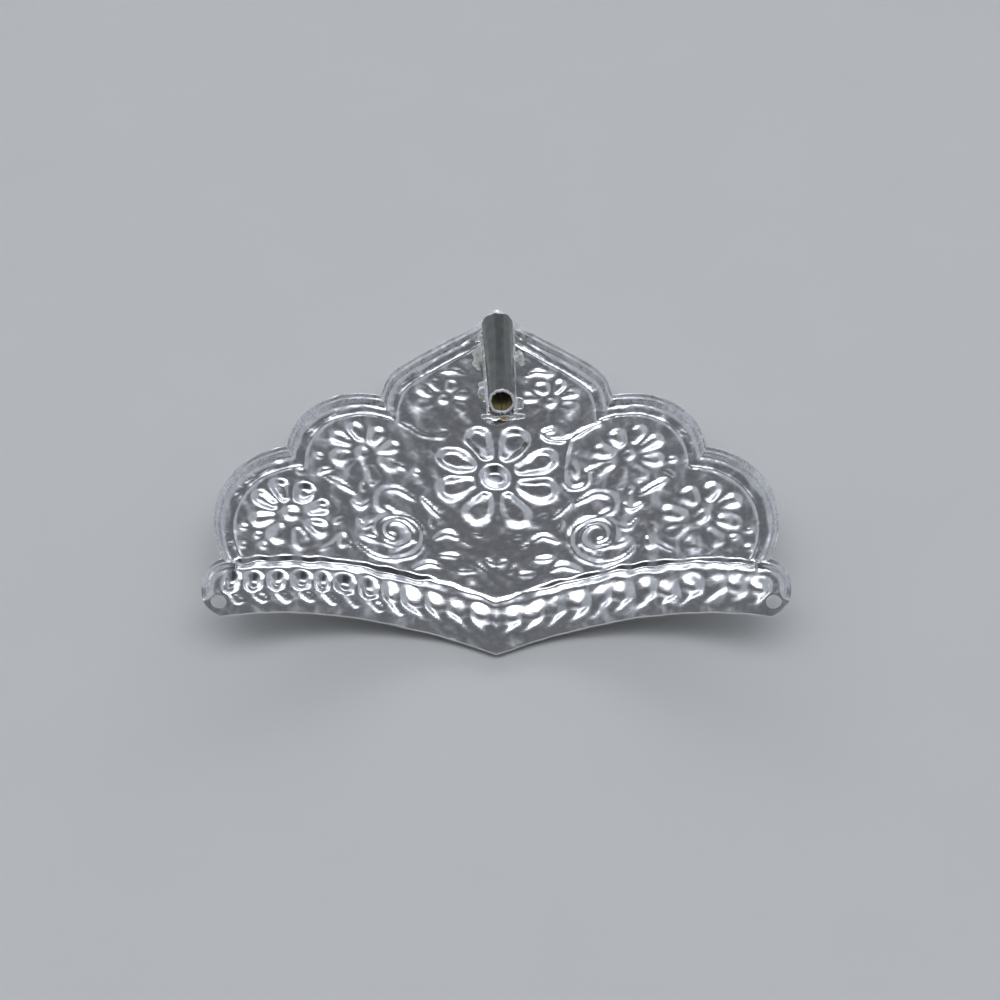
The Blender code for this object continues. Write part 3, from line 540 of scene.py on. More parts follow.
class Relief:
    """Height of the middle of the metal over the plain sheet, in millimetres, with its slopes and how hollow
    it is: worked out once on a grid over the whole pattern, softened there, and read between its points."""

    def __init__(self, sizes):
        self.sizes = sizes
        self.strokes = ornament(sizes)
        self.rim, self.groove = soft_profile(RIM_LINE, 0.07), soft_profile(GROOVE_LINE, 0.06)
        columns = int((PATTERN_HALF + 1) / CELL)
        rows = int((TIP[-1][1] - BROW[0][1] + 2) / CELL)
        self.corner = np.array([-columns * CELL, BROW[0][1] - 1])
        at = np.stack(np.meshgrid(np.arange(columns + 1), np.arange(rows), indexing="ij"), -1) * CELL
        p = at.reshape(-1, 2) + (0, self.corner[1])
        edges = edge_distance(p)
        layers = []
        for left in (False, True):
            signed = p * (-1, 1) if left else p
            layers.append([grid.reshape(columns + 1, rows) for grid in self.half(p, signed, edges, left)])
        rims, depth = (np.vstack([b[:0:-1], a]) for a, b in zip(*layers))
        depth = soften(depth, sizes.softness / MM / CELL)
        self.height = rims - depth
        self.slopes = np.gradient(self.height, CELL)
        self.depth = depth

    def half(self, p, signed, edges, left):
        """Rims and hollows of one half; p is its mirror image on the right half."""
        def uneven(name):
            return slow_waves(signed, *WAVES[name])

        sizes = self.sizes
        points, band, turn, along = edges
        points = points + EDGE_WANDER * uneven("edge") * ease(points / 0.3)
        rise = sizes.rim_rise / MM
        lower = 1 - TIP_LOWER * ease((p[:, 1] - TIP_FROM) / TIP_OVER)
        field = rise * np.interp(points, *self.rim) * lower
        beads = np.cos(2 * math.pi * along / BEAD) * np.exp(-((points - BEAD_ROW) / BEAD_WIDTH) ** 2)
        field += BEAD_RISE * beads * ease(uneven("beads"))
        end_rim = rise * ease((turn - END_RIM_FROM) / END_RIM_OVER) * np.interp(band, *self.rim)
        aside = SKEW * (-1 if left else 1) * ease(p[:, 0] / 5)
        across = p[:, 1] - brow(p[:, 0]) - GROOVE_RISE
        height = np.where(across > 0, field, end_rim)
        line = across + aside * 0.6 + GROOVE_WANDER * uneven("groove line")
        groove = sizes.groove_depth / MM * np.interp(line, *self.groove)
        groove *= LEFT_GROOVE if left else 1.0
        full = ease((p[:, 0] - (6 if left else 3)) / 3)
        groove *= GROOVE_MIDDLE + (1 - GROOVE_MIDDLE) * full + 0.13 * uneven("groove depth")
        depth = groove * (1 - ease((p[:, 0] - GROOVE_END) / 2))
        drawn = p + np.column_stack([STROKE_WANDER * uneven("aside"), aside + STROKE_WANDER * uneven("up")])
        depth = np.maximum(depth, flutes(sizes, drawn, left))
        for stroke in self.strokes:
            near, its = hollow(stroke, stroke["depth"][left], drawn)
            meet = 0.1 * ease(np.minimum(depth[near], its) / 0.1)
            depth[near] = join_soft(depth[near], its, np.maximum(meet, 1e-6))
        depth *= 1 + STRIKE_SPREAD * uneven("strikes")
        depth = np.minimum(depth, sizes.flower_depth / MM)
        from_hole = np.hypot(*(p - tie_centre()).T) - TIE_RADIUS - HOLE_FLAT
        depth *= ease(from_hole / HOLE_FLAT)
        depth -= sizes.step_rise / MM * self.inner_step(p, points) * (across > 0)
        waves = sizes.waviness / MM * uneven("slow") + sizes.ripple / MM * uneven("short")
        return height + waves, depth

    def read(self, grid, p):
        """The grid's value at the points p, between its own points."""
        at = (p - self.corner) / CELL
        cell = np.clip(at.astype(int), 0, np.array(grid.shape) - 2)
        (s, t), (i, j) = (at - cell).T, cell.T
        return ((1 - s) * ((1 - t) * grid[i, j] + t * grid[i, j + 1])
                + s * ((1 - t) * grid[i + 1, j] + t * grid[i + 1, j + 1]))

    @staticmethod
    def inner_step(p, points):
        """The raised line inside the border, which fades under the tube."""
        step = np.clip(1 - np.abs(points - RIM_FOOT - BORDER - STEP_WIDTH / 2) / (STEP_WIDTH / 2), 0, 1)
        return ease(step) * ease((p[:, 0] - 1.72) / STEP_WIDTH - 1)


# Facets of the pattern

def inside(loop, p):
    """Which points p lie inside a closed loop (even-odd rule)."""
    count = np.zeros(len(p), int)
    for a, b in zip(loop, np.roll(loop, -1, axis=0)):
        crosses = (a[1] > p[:, 1]) != (b[1] > p[:, 1])
        with np.errstate(divide="ignore", invalid="ignore"):
            at = a[0] + (p[:, 1] - a[1]) / (b[1] - a[1]) * (b[0] - a[0])
        count += crosses & (p[:, 0] < at)
    return count % 2 == 1


def rim_rows(step):
    """Lines that follow the edge of the points at several distances, cut at the notches."""
    rows = []
    for inset in (*RIM_ROWS, *(RIM_FOOT + BORDER + STEP_WIDTH * t for t in (0, 0.25, 0.5, 0.75, 1))):
        tip = curve_through(TIP, step)
        run = np.gradient(tip, axis=0)
        run /= np.hypot(*run.T)[:, None]
        tip_row = tip + np.column_stack([-run[:, 1], run[:, 0]]) * inset
        for row in (arc_points(*LOW_POINT, step, inset), arc_points(*HIGH_POINT, step, inset), tip_row):
            reach = edge_distance(row)[0]
            keep = (np.abs(reach - inset) < 0.02) & (row[:, 0] > 0.05)
            keep &= row[:, 1] > brow(row[:, 0]) + GROOVE_RISE + 0.15
            rows += [part[1:] for part in np.split(row, np.nonzero(~keep)[0]) if len(part) > 3]
    return rows


def field_points(relief, finest):
    """Points of a square grid, close together where the metal curves and far apart where it is plain."""
    nu = int(PATTERN_HALF / finest) // 4 * 4 + 5
    nv = int((TIP[-1][1] - BROW[0][1]) / finest) // 4 * 4 + 9
    grid = np.stack(np.meshgrid(np.arange(nu), np.arange(nv), indexing="ij"), -1)
    at = grid * finest + (0.0, BROW[0][1] - 2 * finest)
    bend = np.zeros((nu, nv))
    for side in ((1, 1), (-1, 1)):               # whichever half turns its slope faster
        h = relief.read(relief.height, at.reshape(-1, 2) * side).reshape(nu, nv)
        for across in (np.abs(h[2:, 1:-1] + h[:-2, 1:-1] - 2 * h[1:-1, 1:-1]),
                       np.abs(h[1:-1, 2:] + h[1:-1, :-2] - 2 * h[1:-1, 1:-1])):
            bend[1:-1, 1:-1] = np.maximum(bend[1:-1, 1:-1], across)
    bend = np.minimum(bend / finest ** 2, 20)    # how fast the slope turns, for each millimetre

    def worst(size):
        """The most that the slope turns in each block of the grid."""
        blocks = bend[:nu // size * size, :nv // size * size]
        blocks = blocks.reshape(nu // size, size, nv // size, size).max(axis=(1, 3))
        blocks = np.kron(blocks, np.ones((size, size)))
        return np.pad(blocks, ((0, nu - blocks.shape[0]), (0, nv - blocks.shape[1])), mode="edge")

    i, j = grid[..., 0], grid[..., 1]
    keep = (i % 4 == 0) & (j % 4 == 0)
    keep |= (worst(4) * finest * 4 > BENT) & (i % 2 == 0) & (j % 2 == 0)
    keep |= worst(2) * finest * 2 > SHARPLY_BENT
    return at[keep]


def half_triangles(relief, finest):
    """Points and triangles of the right half of the pattern."""
    rim, hole = outline(EDGE_STEP), ring_round(tie_centre(), TIE_RADIUS, HOLE_SIDES)
    coords, edges = [], []

    def add(line, closed=False):
        first = len(coords)
        coords.extend(map(tuple, line))
        edges.extend((first + i, first + i + 1) for i in range(len(line) - 1))
        if closed:
            edges.append((len(coords) - 1, first))

    add(rim, True)
    add(hole, True)
    add(ring_round(tie_centre(), TIE_RADIUS + 0.14, HOLE_SIDES), True)
    for row in rim_rows(ROW_STEP):
        add(row)
    along = np.append(np.arange(0, 33, ROW_STEP), 33.2)
    for across in GROOVE_ROWS:
        add(np.column_stack([along, brow(along) + GROOVE_RISE + across]))
    tree = KDTree(len(coords))
    for i, (u, v) in enumerate(coords):
        tree.insert((u, v, 0), i)
    tree.balance()
    for point in field_points(relief, finest):
        if tree.find((*point, 0))[2] > CLEARANCE * finest:
            coords.append(tuple(point))
    result = delaunay_2d_cdt(coords, edges, [], 0, 1e-4)
    p = np.array([tuple(c) for c in result[0]])
    p[np.abs(p[:, 0]) < 2e-3, 0] = 0.0
    triangles = np.array(result[2])
    middle = p[triangles].mean(axis=1)
    return used_only(p, triangles[inside(rim, middle) & ~inside(hole, middle)])


def used_only(p, triangles):
    """The points that triangles use, and the triangles counted over them."""
    used = np.unique(triangles)
    index = np.full(len(p), -1)
    index[used] = np.arange(len(used))
    return p[used], index[triangles]


def flat_sheet(sizes):
    """The pressed sheet before it is bent: both faces and the edge between them, with where it is hollow."""
    relief = Relief(sizes)
    p, triangles = half_triangles(relief, sizes.finest / MM)
    mirror = np.arange(len(p)) + len(p)
    on_axis = p[:, 0] == 0
    mirror[on_axis] = np.nonzero(on_axis)[0]
    triangles = np.vstack([triangles, mirror[triangles][:, ::-1]])
    both, triangles = used_only(np.vstack([p, p * (-1, 1)]), triangles)
    height = relief.read(relief.height, both) * MM
    depth = relief.read(relief.depth, both)
    slope = [relief.read(grid, both) for grid in relief.slopes]
    count = len(both)
    flat = np.column_stack([both[:, 0] * MM, (both[:, 1] - SHEET_MIDDLE) * MM, height])
    offset = np.array([0, 0, sizes.thickness / 2])
    sides = {(t[i], t[i - 2]) for t in triangles for i in range(3)}
    walls = [face for a, b in sorted(sides) if (b, a) not in sides
             for face in ((b, a, a + count), (b, a + count, b + count))]
    faces = np.vstack([triangles, triangles[:, ::-1] + count, walls])
    mesh = mesh_of("crown_sheet", np.vstack([flat + offset, flat - offset]), faces)
    add_values(mesh, "hollow", np.tile(depth / (sizes.flower_depth / MM), 2))
    add_values(mesh, "rim", np.tile(worn_rim(np.column_stack([np.abs(both[:, 0]), both[:, 1]])), 2))
    return mesh, np.column_stack(slope), len(triangles)


def worn_rim(p):
    """How scuffed the rim of the points is at p, which is on the right half: most on the middle point."""
    u, v = p.T
    worn = (v > brow(u) + GROOVE_RISE) * (1 - (1 - SIDES_WORN) * ease((u - RIM_MIDDLE) / 14))
    return (1 - ease((edge_distance(p)[0] - RIM_WORN) / RIM_FADE)) * worn


def mesh_of(name, vertices, faces):
    """A smooth-shaded mesh."""
    mesh = bpy.data.meshes.new(name)
    mesh.from_pydata(np.asarray(vertices, float).tolist(), [], [tuple(map(int, face)) for face in faces])
    mesh.validate()
    mesh.shade_smooth()
    return mesh


def add_values(mesh, name, values):
    """A number at each vertex of the mesh."""
    mesh.attributes.new(name, "FLOAT", "POINT").data.foreach_set("value", np.asarray(values, np.float32))


# Trees of nodes

NUMBER, WHOLE, COLOUR, VECTOR, MATERIAL, GEOMETRY = (
    "NodeSocket" + kind for kind in ("Float", "Int", "Color", "Vector", "Material", "Geometry"))


class Wiring:
    """Adds nodes to a tree and joins them."""

    def __init__(self, tree):
        self.tree = tree

    def feed(self, socket, value):
        """Joins an output to the socket, or sets the socket's own value."""
        if isinstance(value, bpy.types.NodeSocket):
            self.tree.links.new(value, socket)
        else:
            socket.default_value = value

    def node(self, kind, *inputs, **settings):
        """A new node, its inputs fed in order or by name, with its settings."""
        made = self.tree.nodes.new(kind)
        named = settings.pop("named", {})
        for name, value in settings.items():
            setattr(made, name, value)
        for socket, value in list(zip(made.inputs, inputs)) + [(made.inputs[n], v) for n, v in named.items()]:
            self.feed(socket, value)
        return made

    def first(self, kind, *inputs, **settings):
        """The first output of a new node."""
        return self.node(kind, *inputs, **settings).outputs[0]

    def math(self, operation, *values):
        return self.first("ShaderNodeMath", *values, operation=operation)

    def plus(self, one, other):
        return self.math("ADD", one, other)

    def minus(self, one, other):
        return self.math("SUBTRACT", one, other)

    def times(self, one, other):
        return self.math("MULTIPLY", one, other)

    def larger(self, one, other):
        return self.math("MAXIMUM", one, other)

    def mix(self, share, first, second):
        """A blend of two colours."""
        made = self.node("ShaderNodeMix", data_type="RGBA")
        for name, value in (("Factor_Float", share), ("A_Color", first), ("B_Color", second)):
            self.feed(next(s for s in made.inputs if s.identifier == name), value)
        return next(s for s in made.outputs if s.identifier == "Result_Color")

    def spread(self, value, low, high, new_low=0.0, new_high=1.0):
        """A value carried from one range to another, and held there."""
        return self.first("ShaderNodeMapRange", value, low, high, new_low, new_high)

    def noise(self, place, scale, detail):
        return self.first("ShaderNodeTexNoise", named={"Vector": place, "Scale": scale, "Detail": detail})

    def place(self):
        """Where each spot is on its own object."""
        return self.node("ShaderNodeTexCoord").outputs["Object"]

    def value(self, name):
        """What add_values gave the mesh under that name."""
        return self.node("ShaderNodeAttribute", attribute_name=name).outputs["Fac"]

    def bump(self, height, strength, distance):
        return self.first("ShaderNodeBump",
                          named={"Height": height, "Strength": strength, "Distance": distance})


def new_tree(name, family, inputs, outputs):
    """An empty tree with named sockets, its wiring, its input node and its output node."""
    tree = bpy.data.node_groups.new(name, family)
    for way, sockets in (("INPUT", inputs), ("OUTPUT", outputs)):
        for label, kind in sockets.items():
            tree.interface.new_socket(label, in_out=way, socket_type=kind)
    wiring = Wiring(tree)
    return tree, wiring, wiring.node("NodeGroupInput").outputs, wiring.node("NodeGroupOutput").inputs


def shape_tree(name, inputs, build):
    """A tree that builds a shape, with its ending as the export needs it."""
    tree, w, given, out = new_tree(name, "GeometryNodeTree", {
        "Geometry": GEOMETRY, **inputs, "Material": MATERIAL}, {"Geometry": GEOMETRY})
    real = w.first("GeometryNodeRealizeInstances", build(w, given))
    w.feed(out[0], w.first("GeometryNodeSetMaterial", real, named={"Material": given["Material"]}))
    return tree


def fold_tree():
    """Bends a flat sheet round the brow: an arc in the middle and straight wings beyond it."""
    def build(w, given):
        radius, wing = given["Bend Radius"], given["Wing Angle"]
        u, v, height = w.node("ShaderNodeSeparateXYZ", w.first("GeometryNodeInputPosition")).outputs
        along = w.math("ABSOLUTE", u)
        turn = w.math("MINIMUM", w.math("DIVIDE", along, radius), wing)
        straight = w.larger(w.minus(along, w.times(radius, wing)), 0.0)
        inner = w.minus(radius, height)
        x = w.plus(w.times(inner, w.math("SINE", turn)), w.times(straight, w.math("COSINE", wing)))
        z = w.plus(w.minus(radius, w.times(inner, w.math("COSINE", turn))),
                   w.times(straight, w.math("SINE", wing)))
        z = w.larger(w.plus(z, given["Lift"]), 0.0)
        bent = w.first("ShaderNodeCombineXYZ", w.times(x, w.math("SIGN", u)), v, z)
        return w.first("GeometryNodeSetPosition", given["Geometry"], named={"Position": bent})

    return shape_tree("Fold round the brow", {"Bend Radius": NUMBER, "Wing Angle": NUMBER, "Lift": NUMBER},
                      build)


def roll_tree():
    """Rolls a blank into a tapered tube. The blank's x is the share of the turn, y the length and z the share
    of the wall, from the bore outwards."""
    def build(w, given):
        turn, along, wall = w.node("ShaderNodeSeparateXYZ", w.first("GeometryNodeInputPosition")).outputs
        seam = given["Seam"]
        turn = w.plus(w.times(turn, w.minus(2 * math.pi, seam)), w.plus(-math.pi / 2, w.times(seam, 0.5)))
        share = w.math("DIVIDE", along, given["Length"])
        inner = w.plus(w.times(given["Bore"], 0.5), w.times(share, w.times(given["Flare"], 0.5)))
        cosine, sine = w.math("COSINE", turn), w.math("SINE", turn)
        # Flats left by the rolling: slow along the tube, quicker round it
        spot = w.first("ShaderNodeCombineXYZ", cosine, sine, w.times(share, 0.9))
        flats = w.times(w.minus(w.noise(spot, 1.35, 1.5), 0.5), TUBE_FLATS)
        radius = w.plus(inner, w.plus(w.times(wall, given["Wall"]), flats))
        rise = w.plus(w.plus(inner, given["Wall"]), w.times(radius, sine))
        lips = w.times(w.minus(w.noise(spot, 3.1, 2.0), 0.5), TUBE_LIPS)
        lean = w.times(w.times(rise, w.math("TANGENT", given["Slant"])), w.minus(1.0, share))
        place = w.first("ShaderNodeCombineXYZ", w.times(radius, cosine), w.plus(w.plus(along, lean), lips),
                        rise)
        return w.first("GeometryNodeSetPosition", given["Geometry"], named={"Position": place})

    sizes = ("Bore", "Wall", "Flare", "Length", "Slant", "Seam")
    return shape_tree("Roll a tube", dict.fromkeys(sizes, NUMBER), build)


def tube_blank(length):
    """The blank that the tube is rolled from: the section of its wall, with round lips, swept round."""
    end, columns = length / MM, BLANK_COLUMNS
    even = np.linspace(BLANK_EVEN, end - BLANK_EVEN, BLANK_ROWS)
    inner = [*BLANK_NEAR, *even, *(end - t for t in reversed(BLANK_NEAR))]
    section = [(t, 1.0) for t in reversed(inner)] + BLANK_LIP + [(t, 0.0) for t in inner]
    section += [(end - t, share) for t, share in reversed(BLANK_LIP)]
    count = len(section)
    vertices = [(s / (columns - 1), t * MM, share) for s in range(columns) for t, share in section]
    last = (columns - 1) * count
    faces = [(s + i, s + count + i, s + count + (i + 1) % count, s + (i + 1) % count)
             for s in range(0, last, count) for i in range(count)]
    faces += [tuple(range(count)), tuple(last + i for i in reversed(range(count)))]
    mesh = mesh_of("rolled_tube", vertices, faces)
    add_values(mesh, "bore", [1 - share for _, share in section] * columns)
    add_values(mesh, "lip", [max(0.0, 1 - min(t, end - t) / 0.2) for t, _ in section] * columns)
    return mesh


def tube_place(scene):
    """Where the rolled tube lies on the sheet."""
    sheet, tube = scene.crown_sheet, scene.crown_tube
    seat = sheet.flower_depth - sheet.worn + sheet.thickness + tube.gap
    return (Matrix.Translation((tube.aside, (TUBE_FOOT - SHEET_MIDDLE) * MM, seat))
            @ Matrix.Rotation(tube.lean, 4, "Z"))


def solder_points(scene):
    """Points where the solder lies, with the size of the lump there and how flat it is."""
    sheet, tube = scene.crown_sheet, scene.crown_tube
    rng = np.random.default_rng(tube.seed)
    plain = sheet.flower_depth - sheet.worn + sheet.thickness
    place = tube_place(scene)
    rows = []
    for side in (-1, 1):
        for along in np.arange(*FILLET_RUN):
            share = along / (TUBE_TOP - TUBE_FOOT)
            for out, rise, size in FILLET_ROWS:
                aside = side * (out + FILLET_FLARE * share + rng.uniform(-0.01, 0.01))
                spot = place @ Vector((aside * MM, along * MM, 0))
                rows.append((spot.x, spot.y, plain + rise * MM, size * rng.uniform(0.97, 1.03), 1.0))
    for u, v, width, height, count in TRACES:
        for _ in range(count):
            turn, out = rng.uniform(0, 2 * math.pi), math.sqrt(rng.random())
            x = (u + width * out * math.cos(turn)) * MM
            y = (v - SHEET_MIDDLE + height * out * math.sin(turn)) * MM
            rows.append((x, y, plain + x ** 2 / (2 * sheet.bend_radius), rng.uniform(*TRACE_SIZE),
                         rng.uniform(*TRACE_FLAT) * (TRACE_MIDDLE - TRACE_THINS * out)))
    rows = np.array(rows)
    mesh = bpy.data.meshes.new("solder")
    mesh.from_pydata(rows[:, :3].tolist(), [], [])
    add_values(mesh, "size", rows[:, 3])
    add_values(mesh, "flat", rows[:, 4])
    return mesh


def solder_tree():
    """Lumps on points, melted into one another."""
    def build(w, given):
        def read(name):
            return w.first("GeometryNodeInputNamedAttribute", name, data_type="FLOAT")

        lump = w.first("GeometryNodeMeshIcoSphere", given["Lump"], 3)
        uneven = w.node("FunctionNodeRandomValue", data_type="FLOAT")
        for at, value in ((2, 0.85), (3, 1.2), ("Seed", given["Seed"])):
            w.feed(uneven.inputs[at], value)
        size = w.times(read("size"), uneven.outputs[1])
        scale = w.first("ShaderNodeCombineXYZ", size, size, w.times(size, read("flat")))
        placed = w.first("GeometryNodeInstanceOnPoints", given["Geometry"],
                         named={"Instance": lump, "Scale": scale})
        volume = w.first("GeometryNodeMeshToVolume", w.first("GeometryNodeRealizeInstances", placed),
                         resolution_mode="VOXEL_SIZE", named={"Voxel Size": MELT_CELL})
        skin = w.first("GeometryNodeVolumeToMesh", volume, resolution_mode="VOXEL_SIZE",
                       named={"Voxel Size": SKIN_CELL, "Threshold": 0.1})
        smooth = w.node("GeometryNodeBlurAttribute", data_type="FLOAT_VECTOR")
        w.feed(next(s for s in smooth.inputs if s.enabled and s.name == "Value"),
               w.first("GeometryNodeInputPosition"))
        w.feed(smooth.inputs["Iterations"], MELT_PASSES)
        melted = next(s for s in smooth.outputs if s.enabled)
        return w.first("GeometryNodeSetPosition", skin, named={"Position": melted})

    return shape_tree("Melt solder", {"Seed": WHOLE, "Lump": NUMBER}, build)


def added(name, data):
    """A new object in the scene."""
    made = bpy.data.objects.new(name, data)
    bpy.context.scene.collection.objects.link(made)
    return made


def grown(name, tree, source, values):
    """An object with the plain mesh that a tree makes of the source mesh."""
    made = added(name, source)
    modifier = made.modifiers.new("Shape", "NODES")
    modifier.node_group = tree
    for item in tree.interface.items_tree:
        if item.in_out == "INPUT" and item.name in values:
            modifier[item.identifier] = values[item.name]
    depsgraph = bpy.context.evaluated_depsgraph_get()
    mesh = bpy.data.meshes.new_from_object(made.evaluated_get(depsgraph), depsgraph=depsgraph)
    made.modifiers.remove(modifier)
    if not len(mesh.polygons):
        raise RuntimeError(f"{name}: the tree made no faces")
    made.data = mesh
    return made


# Finishes

def shared_group(name, inputs, outputs, build):
    """A shader group, made once."""
    if name not in bpy.data.node_groups:
        build(*new_tree(name, "ShaderNodeTree", inputs, outputs)[1:])
    return bpy.data.node_groups[name]


def tarnish_and_shade_group():
    """Darker, duller metal in soft clouds, strongest in the hollows: tarnish, and over the plain metal painted
    shade that stands in for the mottled reflections of its uneven surface.
    """
    def build(w, given, out):
        place = w.place()
        both = w.plus(w.times(w.noise(place, 300.0, 4.0), 0.5), w.times(w.noise(place, 850.0, 3.0), 0.5))
        tarnish_and_shade_share = w.times(w.spread(both, 0.38, 0.62), w.spread(given["Hollow"], 0.0, 1.0, 0.55, 1.0))
        tarnish_and_shade_share = w.times(tarnish_and_shade_share, given["Amount"])
        w.feed(out["Colour"], w.mix(tarnish_and_shade_share, given["Clean"], given["Dark"]))
        specks = w.spread(w.noise(place, 2600.0, 2.0), 0.4, 0.8, 0.0, 0.06)
        w.feed(out["Roughness"], w.plus(w.plus(given["Polish"], w.times(tarnish_and_shade_share, 0.06)), specks))

    return shared_group("Tarnish and painted shade", {"Clean": COLOUR, "Dark": COLOUR, "Hollow": NUMBER, "Amount": NUMBER,
                                    "Polish": NUMBER}, {"Colour": COLOUR, "Roughness": NUMBER}, build)


def scratches_group():
    """Height of fine polishing scratches that run one way, and of small dents."""
    def build(w, given, out):
        place = w.place()
        turned = w.first("ShaderNodeMapping", place, named={"Rotation": given["Turn"], "Scale": (1, 14, 1)})
        dents = w.times(w.noise(place, 900.0, 2.0), given["Dents"])
        w.feed(out["Height"], w.plus(w.noise(turned, 500.0, 3.0), dents))

    return shared_group("Scratches", {"Turn": VECTOR, "Dents": NUMBER}, {"Height": NUMBER}, build)


def new_material(name):
    """A material with its wiring and the inputs of its shader."""
    made = bpy.data.materials.new(name)
    made.use_nodes = True
    return made, Wiring(made.node_tree), made.node_tree.nodes["Principled BSDF"].inputs


def silver_material(name, clean, dark, amount, polish, turn, dents, strength):
    """Silver with tarnish and clouds of painted shade, scratches of its own, and scuffed on its rim."""
    made, w, shader = new_material(name)
    tarnish_and_shade = w.node("ShaderNodeGroup", node_tree=tarnish_and_shade_group(), named={
        "Clean": (*clean, 1), "Dark": (*dark, 1), "Hollow": w.value("hollow"), "Amount": amount,
        "Polish": polish}).outputs
    marks = w.first("ShaderNodeGroup", node_tree=scratches_group(), named={"Turn": turn, "Dents": dents})
    scuffs = w.spread(w.noise(w.place(), 1600.0, 3.0), 0.38, 0.62, 0.08, SCUFFED)
    scuffs = w.times(w.value("rim"), scuffs)
    w.feed(shader["Base Color"], tarnish_and_shade["Colour"])
    w.feed(shader["Roughness"], w.plus(tarnish_and_shade["Roughness"], scuffs))
    w.feed(shader["Metallic"], w.spread(scuffs, 0.0, SCUFFED, 1.0, 0.4))
    w.feed(shader["Normal"], w.bump(marks, strength, 0.00002))
    return made


def tube_material(finish):
    """Dull rolled silver, its colour painted dark grey as shade, with brighter lips and stained inside the
    bore.
    """
    made = silver_material("shaded_dull_silver", finish.rolled, finish.tarnish_and_shade, 0.5, 0.3, (0, 0, 0), 1.5, 0.5)
    w = Wiring(made.node_tree)
    shader = made.node_tree.nodes["Principled BSDF"].inputs
    metal = shader["Base Color"].links[0].from_socket
    stain = w.times(w.spread(w.value("bore"), 0.4, 0.95),
                    w.spread(w.noise(w.place(), 700.0, 4.0), 0.2, 0.5, 0.55, 1.0))
    lip = w.spread(w.value("lip"), 0.1, 0.6)
    stain = w.times(stain, w.minus(1.0, lip))
    metal = w.mix(lip, metal, (*finish.silver, 1))
    w.feed(shader["Base Color"], w.mix(stain, metal, (*finish.stain, 1)))
    w.feed(shader["Metallic"], w.spread(w.larger(stain, lip), 0.0, 1.0, 1.0, 0.35))
    return made


def solder_material(finish):
    """Pale solder, cloudy with burnt flux, with painted shadow beside the top of the tube."""
    made, w, shader = new_material("pale_solder")
    place = w.place()
    clouds, grit = w.noise(place, 700.0, 5.0), w.noise(place, 4200.0, 3.0)
    y = w.node("ShaderNodeSeparateXYZ", place).outputs[1]
    below, above = ((v - SHEET_MIDDLE) * MM for v in BRIGHT_BELOW)
    dull = w.times(w.spread(clouds, 0.36, 0.5), w.spread(y, below, above, 0.25, 1.0))
    burnt_and_shadow = w.spread(clouds, 0.6, 0.72)
    # The spot below the mouth is burnt flux; the one beside the top of the tube is painted shadow
    for spot in FLUX_AND_SHADOW_SPOTS:
        away = w.node("ShaderNodeVectorMath", place, spot, operation="DISTANCE").outputs["Value"]
        burnt_and_shadow = w.larger(burnt_and_shadow, w.spread(away, *SPOT_EDGE))
    metal = w.mix(dull, (*finish.silver, 1), (*finish.solder, 1))
    w.feed(shader["Base Color"], w.mix(burnt_and_shadow, metal, (*finish.stain, 1)))
    w.feed(shader["Roughness"], w.spread(w.plus(grit, dull), 0.4, 1.6, 0.2, 0.5))
    w.feed(shader["Metallic"], w.spread(w.larger(w.times(dull, 0.45), burnt_and_shadow), 0.0, 1.0, 1.0, 0.45))
    w.feed(shader["Normal"], w.bump(grit, 0.35, 0.00003))
    return made


# Operators

def settle(piece, slot, *nodes):
    """Places a finished piece in the frame, for the nodes that it stands for."""
    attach(piece, "root")
    if nodes:
        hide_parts(*nodes)


class CROWN_OT_sheet(bpy.types.Operator):
    """Make the pressed and bent sheet"""
    bl_idname = "crown.sheet"
    bl_label = "Pressed sheet"

    def execute(self, context):
        sizes, finish = context.scene.crown_sheet, context.scene.crown_finish
        mesh, slope, face_count = flat_sheet(sizes)
        metal = silver_material("polished_silver", finish.silver, finish.tarnish_and_shade, 0.75, finish.polish,
                                (0, 0, 0.5), 0.8, 0.25)
        lift = sizes.flower_depth - sizes.worn + sizes.thickness / 2
        sheet = grown("crown_sheet", fold_tree(), mesh, {
            "Bend Radius": sizes.bend_radius, "Wing Angle": sizes.wing_angle, "Lift": lift,
            "Material": metal})
        true_normals(sheet.data, mesh, slope, face_count, sizes)
        settle(sheet, "pressed_silver", "crown_plate")
        return {"FINISHED"}


def vectors(items, name):
    """A vector of every item, in rows."""
    rows = np.empty(len(items) * 3)
    items.foreach_get(name, rows)
    return rows.reshape(-1, 3)


def true_normals(bent, flat, slope, face_count, sizes):
    """Gives both faces of the bent sheet the exact direction of the pressed surface."""
    count = len(slope)
    u, _, height = vectors(flat.vertices, "co")[:count].T
    turn = np.clip(u / sizes.bend_radius, -sizes.wing_angle, sizes.wing_angle)
    shrink = np.where(np.abs(turn) < sizes.wing_angle, 1 - height / sizes.bend_radius, 1)
    zero = np.zeros(count)
    across = np.column_stack([np.cos(turn), zero, np.sin(turn)])
    up = np.column_stack([-np.sin(turn), zero, np.cos(turn)])
    along = np.column_stack([zero, zero + 1, zero])
    normal = shrink[:, None] * (up - slope[:, 1:] * along) - slope[:, :1] * across
    normal /= np.linalg.norm(normal, axis=1)[:, None]
    loops = np.empty(len(bent.loops), int)
    bent.loops.foreach_get("vertex_index", loops)
    own = vectors(bent.corner_normals, "vector")
    back, front = slice(0, face_count * 3), slice(face_count * 3, face_count * 6)
    own[back] = normal[loops[back]]
    own[front] = -normal[loops[front] - count]
    walls = vectors(bent.polygon_normals, "vector")[face_count * 2:]
    own[face_count * 6:] = np.repeat(walls, 3, axis=0)
    bent.normals_split_custom_set(own.tolist())


